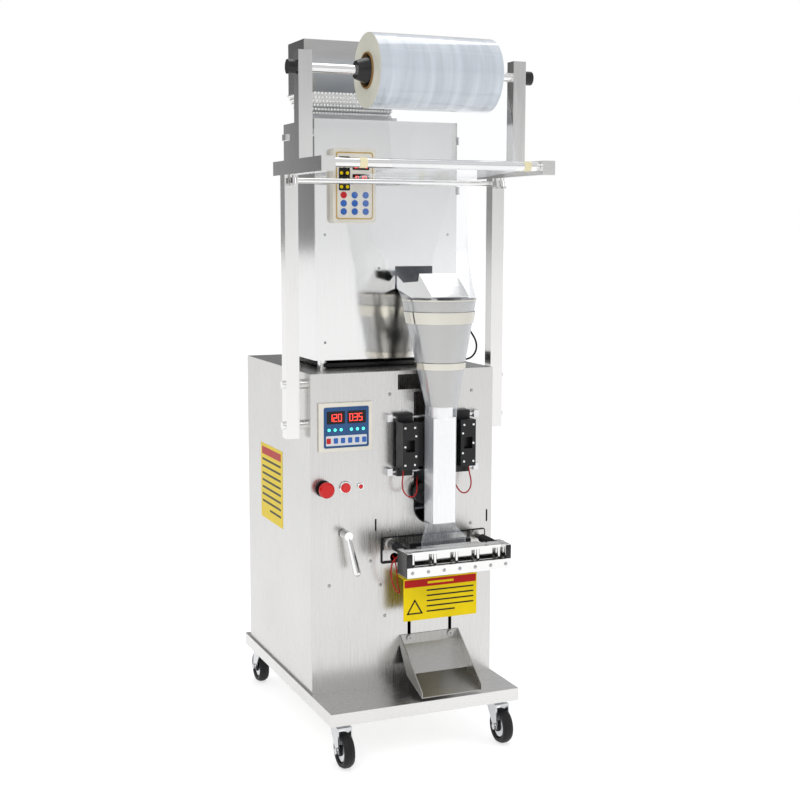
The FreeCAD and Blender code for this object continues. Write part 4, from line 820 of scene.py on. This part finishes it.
# %% Control panel face
FACE_Y, KEY_Y = -6.2, -7.5
plates("panel_blue_sheet", [(-192, -87, 553, 643, FACE_Y - 0.5)], BLUE_PANEL, radius=4)
plates("panel_windows", [(-185, -143, 606, 634, FACE_Y - 0.9), (-137, -94, 606, 634, FACE_Y - 0.9)],
       DARK_GLASS)
plates("panel_key_field", [(-187, -92, 558, 580, FACE_Y - 0.9)], PALE_PANEL)
mesh = bmesh.new()
add_number(mesh, "120", -180, 612, 7, 15, KEY_Y)
add_number(mesh, "035", -132, 612, 7, 15, KEY_Y)
finish_piece("panel_red_digits", mesh, RED_DIGIT, ROOT)
KEY_XS = [-181 + 16.6 * i for i in range(6)]
keys = [(x - 5, x + 5, 563, 575, KEY_Y) for x in KEY_XS]
plates("panel_blue_keys", keys[1:], BLUE_KEY)
plates("panel_red_key", keys[:1], RED_KEY)
lamps = [at(x, FACE_Y - 0.6, 593) for x in (-180, -166, -152, -128, -114, -100)]
heads("panel_lamps", DISCS, lamps, 3.4, 0.5, GREEN_DIGIT, ROOT)

# %% [markdown]
# The weigher has its own upright keypad in a gold border: three windows, ten small lamps and nine round keys.
# It is built in the same layers, and its keys are discs from the tree that also makes the lamps.

# %% Weigher keypad face
KEYPAD_Y = 78
plates("keypad_border", [(-131, -43, 1049, 1196, KEYPAD_Y - 0.5)], GOLD, radius=6)
plates("keypad_sheet", [(-128, -46, 1052, 1193, KEYPAD_Y - 0.8)], CREAM, radius=5)
plates("keypad_windows", [(-92, -52, 1157, 1183, KEYPAD_Y - 1.2), (-92, -52, 1128, 1148, KEYPAD_Y - 1.2),
                          (-124, -98, 1112, 1186, KEYPAD_Y - 1.2)], DARK_GLASS)
mesh = bmesh.new()
add_number(mesh, "250", -86, 1162, 7, 15, KEYPAD_Y - 1.6)
add_number(mesh, "018", -84, 1132, 6, 11, KEYPAD_Y - 1.6)
finish_piece("keypad_red_digits", mesh, RED_DIGIT, ROOT)
lamps = [at(-118 + 14 * i, KEYPAD_Y - 1.3, 1120 + 15 * j) for i in range(2) for j in range(5)]
heads("keypad_lamps", DISCS, lamps, 3.8, 0.4, YELLOW, ROOT)
RED_PLACE = (-113, 1102)
keys = [(x, z) for x in (-113, -87, -61) for z in (1066, 1084, 1102) if (x, z) != RED_PLACE]
for name, places, finish in (("keypad_blue_keys", keys, BLUE_KEY), ("keypad_red_key", [RED_PLACE], RED_KEY)):
    heads(name, DISCS, [at(x, KEYPAD_Y - 1, z) for x, z in places], 7.4, 0.7, finish, ROOT)

# %% [markdown]
# ## Printed sheets
# A yellow sheet hangs below the jaws and another is stuck to the left side. They carry a red heading band and
# plain dark bars in place of words.


# %% Notice below the jaws
def bars_of_text(left, right, top, lines, gap, tall):
    """Plain bars like lines of print, the last one short."""
    boxes = []
    for i in range(lines):
        end = right if i < lines - 1 else left + (right - left) * 0.6
        boxes.append((left, end, top - i * gap - tall, top - i * gap))
    return boxes


NOTICE_Y = -57.4
plates("notice_band", [(-22, 154, 236, 253, NOTICE_Y)], RED_PRINT, thick=0.4)
notice_bars = bars_of_text(32, 148, 228, 5, 12, 3.2)
plates("notice_lines", [(*bar, NOTICE_Y) for bar in notice_bars], DARK_PRINT, thick=0.4,
       radius=1)
mesh = bmesh.new()
TURNS = [math.radians(120 * i) for i in range(3)]
CORNERS = [(3 + 20 * math.sin(turn), 186 + 20 * math.cos(turn)) for turn in TURNS]
for (x_1, z_1), (x_2, z_2) in zip(CORNERS, CORNERS[1:] + CORNERS[:1]):
    along = Vector((x_2 - x_1, 0, z_2 - z_1)).normalized() * 1.6
    across = Vector((-along.z, 0, along.x))
    ends = [Vector((x_1, 0, z_1)) - along, Vector((x_2, 0, z_2)) + along]
    loop = [ends[0] - across, ends[1] - across, ends[1] + across, ends[0] + across]
    add_outline(mesh, [at(p.x, NOTICE_Y, p.z) for p in loop], Vector((0, 0.4 * MM, 0)))
finish_piece("notice_triangle", mesh, DARK_PRINT, ROOT)
plates("notice_heading", [(34, 98, 242, 247, NOTICE_Y - 0.3)], YELLOW, thick=0.3, radius=1)

# %% [markdown]
# The label on the cabinet's left side faces sideways, so its layers are flat boxes and not the panel's
# plates. They sit in the sheet by a hair and stand proud of it by less than a millimetre.

# %% Label on the left side
LABEL_X = -220.4


def side_plates(name, boxes, material, proud):
    mesh = bmesh.new()
    for y_1, y_2, z_1, z_2 in boxes:
        add_box(mesh, at(LABEL_X - proud, y_1, z_1), at(LABEL_X + 0.4, y_2, z_2))
    return finish_piece(name, mesh, material, ROOT)


side_plates("side_label", [(201, 367, 334, 516)], YELLOW, 0.2)
side_plates("side_label_band", [(211, 357, 490, 508)], RED_PRINT, 0.5)
side_bars = bars_of_text(213, 355, 480, 8, 17, 5)
side_plates("side_label_lines", side_bars, DARK_PRINT, 0.5)

# %% [markdown]
# ## Trim
# Rubber edging covers the cut edges of the two windows in the front panel. Each is a flat ring between two
# outlines, the smaller one inside the larger, so one helper makes both whatever their shape.


# %% Window edging
def add_frame(mesh, outer, inner, y, thick):
    """A flat ring between two outlines of as many points each."""
    depth = Vector((0, thick * MM, 0))
    layers = [[mesh.verts.new(point + shift) for point in ring]
              for ring in (outer, inner) for shift in (Vector(), depth)]
    front_out, back_out, front_in, back_in = layers
    count = len(outer)
    for i in range(count):
        k = (i + 1) % count
        mesh.faces.new((front_out[i], front_out[k], front_in[k], front_in[i]))
        mesh.faces.new((back_out[k], back_out[i], back_in[i], back_in[k]))
        mesh.faces.new((front_out[k], front_out[i], back_out[i], back_out[k]))
        mesh.faces.new((front_in[i], front_in[k], back_in[k], back_in[i]))


def window_outline(inset, y):
    """The bag line's tall window: square corners above, a half circle below."""
    half = 42 - inset
    turn = [math.radians(180 + 15 * i) for i in range(13)]
    points = [at(BAG_X + half * math.cos(a), y, 407 + half * math.sin(a)) for a in turn]
    return [at(BAG_X - half, y, 668 - inset)] + points + [at(BAG_X + half, y, 668 - inset)]


mesh = bmesh.new()
add_frame(mesh, rounded(-56, 204, 282, 343, 5, -2.0, 8), rounded(-52, 200, 286, 339, 1, -2.0, 8), -2.0, 2.4)
add_frame(mesh, window_outline(0.1, 0.2), window_outline(3.0, 0.2), 0.2, 2.6)
finish_piece("window_edging", mesh, RUBBER, ROOT)

# %% [markdown]
# Black pads face the ends of the jaw blocks, and rings surround the stop button, the lit switch and the small
# lamp where they pass through the panel. The rings and the lamp's lens are turned from short outlines.

# %% Jaw caps, switch collars and lamp
mesh = bmesh.new()
for side in (-1, 1):
    middle_x = JAW_X + side * 119
    add_box(mesh, at(middle_x - 6.2, -140.5, 303.4), at(middle_x + 6.2, -139, 334), 0.0004)
    add_box(mesh, at(middle_x + side * 5, -139, 282), at(middle_x + side * 6.5, -87, 334), 0.0004)
finish_piece("jaw_end_pads", mesh, BLACK, "front_seal_jaw")
STOP, SWITCH, LAMP = at(-192, 0, 464), at(-140.5, 0, 462.5), at(-104.8, 0, 462.8)
TURNED = (
    ("stop_collar", STOP, 48, BLACK, "black_plastic",
     [(11.3, -4), (17.5, -4), (18.5, -2.5), (18.5, 0), (11.3, 0)]),
    ("switch_collar", SWITCH, 48, GROUND, "polished_steel",
     [(11.3, -5), (13, -5), (14.5, -3), (14.5, 0), (11.3, 0)]),
    ("lamp_collar", LAMP, 32, GROUND, "polished_steel",
     [(5.2, -4), (7, -4), (7.6, -2.4), (7.6, 0), (5.2, 0)]),
    ("lamp_lens", LAMP, 32, RED_LENS, "red_plastic",
     [(0.001, -6.5), (2.6, -6.0), (4.4, -4.4), (5.1, -2), (5.1, 4), (0.001, 4)]),
)
for name, centre, segments, finish, slot, outline in TURNED:
    mesh = bmesh.new()
    add_turned(mesh, outline, centre, (0, 1, 0), segments)
    finish_piece(name, mesh, finish, ROOT)

# %% [markdown]
# Rubber bellows keep dust off the jaw's guide rods. A turned zigzag gives their folds. They ride with the
# front jaw at one length, because a piece of a rigid body can't squeeze up as the jaw closes.

# %% Bellows on the jaw's guide rods
mesh = bmesh.new()
FOLDS = 11
for side in (-1, 1):
    outline = [(9.6 if i % 2 else 7.6, -84.5 + 5 * i / 2) for i in range(2 * FOLDS + 1)]
    outline = [(6.2, -84.5)] + outline + [(6.2, outline[-1][1])]
    add_turned(mesh, outline, at(JAW_X + side * 107, 0, 327), (0, 1, 0), 28)
finish_piece("rod_bellows", mesh, RUBBER, "front_seal_jaw", sharp=60)

# %% [markdown]
# Each caster wheel has a pressed hub cover on both sides. It is found from the wheel's own box, so it stays
# centred on the wheel, and it rides on the wheel's body and spins with it.

# %% Caster hubs
for corner in ("front_left", "front_right", "rear_left", "rear_right"):
    low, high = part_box(f"{corner}_caster_wheel")
    centre = (Vector(low) + Vector(high)) / 2
    mesh = bmesh.new()
    for side in (-1, 1):
        rings = [(12.4, 6), (24, 6), (25, 7.4), (24, 8.4), (14, 9.4), (12.4, 9.4)]
        add_turned(mesh, [(radius, side * out) for radius, out in rings], centre, (1, 0, 0), 40)
    finish_piece(f"{corner}_hub_cover", mesh, ZINC, f"{corner}_roller")

# %% [markdown]
# Two turns of tape mark the film's edges on the front bar, and a shallow black pan stands under the weigher.
# The tape is a thin sleeve and the pan is a box with eased edges.

# %% Tape and tray under the weigher
mesh = bmesh.new()
for x_1, x_2 in ((-176, -160), (196, 212)):
    add_turned(mesh, [(10.15, x_1), (10.5, x_1), (10.5, x_2), (10.15, x_2)], at(0, -178, 1160), (1, 0, 0), 40)
finish_piece("bar_tape", mesh, TAPE, "front_bar")
mesh = bmesh.new()
add_box(mesh, at(-150, 112, 717), at(150, 303, 728), 0.004)
finish_piece("weigher_pan", mesh, BLACK, ROOT)

# %% [markdown]
# ## Studio
# The machine stands on a pale floor in a white room. Steel only looks like steel when the room it mirrors has
# light and dark places. So the room is bright in front and dark behind the left shoulder, with a band of grey
# above the horizon and one dark upright strip, which draws streaks on round metal. Three large soft lamps add
# highlights. The camera itself sees plain white.

# %% Studio
floor_mesh = bmesh.new()
FLOOR_HALF = 60
for x, y in ((-1, -1), (1, -1), (1, 1), (-1, 1)):
    floor_mesh.verts.new((x * FLOOR_HALF, y * FLOOR_HALF, 0))
floor_mesh.faces.new(floor_mesh.verts)
floor_data = bpy.data.meshes.new("floor")
floor_mesh.to_mesh(floor_data)
floor_mesh.free()
floor_finish, floor_shader, floor_tree = new_finish("pale floor")
floor_shader.inputs["Base Color"].default_value = (0.60, 0.60, 0.60, 1)
floor_shader.inputs["Roughness"].default_value = 0.7
floor_shader.inputs["Emission Color"].default_value = (1, 1, 1, 1)
floor_shader.inputs["Emission Strength"].default_value = 0.62
floor_data.materials.append(floor_finish)
floor = bpy.data.objects.new("floor", floor_data)
bpy.context.scene.collection.objects.link(floor)

world = bpy.data.worlds.new("studio")
bpy.context.scene.world = world
world.use_nodes = True
tree = world.node_tree
background = tree.nodes["Background"]
direction = tree.nodes.new("ShaderNodeTexCoord")
axes = tree.nodes.new("ShaderNodeSeparateXYZ")
tree.links.new(direction.outputs["Generated"], axes.inputs["Vector"])
ripple = tree.nodes.new("ShaderNodeTexNoise")
ripple.inputs["Scale"].default_value = 2.2
tree.links.new(direction.outputs["Generated"], ripple.inputs["Vector"])
height = tree.nodes.new("ShaderNodeMath")
height.operation = "MULTIPLY_ADD"
height.inputs[1].default_value = 0.5
tree.links.new(axes.outputs["Z"], height.inputs[0])
tree.links.new(ripple.outputs["Fac"], height.inputs[2])
side = tree.nodes.new("ShaderNodeVectorMath")
side.operation = "DOT_PRODUCT"
side.inputs[1].default_value = (0.75, -0.65, 0)
tree.links.new(direction.outputs["Generated"], side.inputs[0])


def shades(steps, source):
    """A ramp from (position, brightness) steps."""
    ramp = tree.nodes.new("ShaderNodeValToRGB")
    elements = ramp.color_ramp.elements
    while len(elements) < len(steps):
        elements.new(0.5)
    for element, (position, bright) in zip(elements, steps):
        element.position = position
        element.color = (bright, bright, bright * 1.02, 1)
    tree.links.new(source, ramp.inputs["Fac"])
    return ramp.outputs["Color"]


upward = height.outputs["Value"]
FRONT_SHADES = shades([(0.0, 0.80), (0.47, 0.92), (0.57, 0.46), (0.72, 0.78), (1.0, 1.0)], upward)
BACK_SHADES = shades([(0.0, 0.60), (0.40, 0.40), (0.52, 0.08), (0.66, 0.14), (0.85, 0.8)], upward)
around = tree.nodes.new("ShaderNodeMapRange")
around.inputs["From Min"].default_value = -1
tree.links.new(side.outputs["Value"], around.inputs["Value"])
TURN = shades([(0.32, 0), (0.53, 1), (0.70, 1), (0.745, 0.15), (0.79, 0.15), (0.84, 1)],
              around.outputs["Result"])
room = tree.nodes.new("ShaderNodeMix")
room.data_type = "RGBA"
tree.links.new(TURN, room.inputs["Factor"])
tree.links.new(BACK_SHADES, room.inputs["A"])
tree.links.new(FRONT_SHADES, room.inputs["B"])
seen = tree.nodes.new("ShaderNodeLightPath")
choice = tree.nodes.new("ShaderNodeMix")
choice.data_type = "RGBA"
choice.inputs["B"].default_value = (1, 1, 1, 1)
tree.links.new(room.outputs["Result"], choice.inputs["A"])
tree.links.new(seen.outputs["Is Camera Ray"], choice.inputs["Factor"])
tree.links.new(choice.outputs["Result"], background.inputs["Color"])
background.inputs["Strength"].default_value = 1.0
LAMPS = {"key": ((-2.4, -2.6, 3.0), 1.6, 30), "fill": ((2.8, -2.4, 2.0), 1.6, 16),
         "top": ((0.2, 0.4, 3.6), 1.8, 20)}
for name, (place, size, power) in LAMPS.items():
    light = bpy.data.lights.new(name, "AREA")
    light.size = size
    light.energy = power
    lamp = bpy.data.objects.new(name, light)
    lamp.location = place
    lamp.rotation_euler = (Vector((0, 0, 0.8)) - Vector(place)).to_track_quat("-Z", "Y").to_euler()
    bpy.context.scene.collection.objects.link(lamp)
print(len(LAMPS), "lamps")
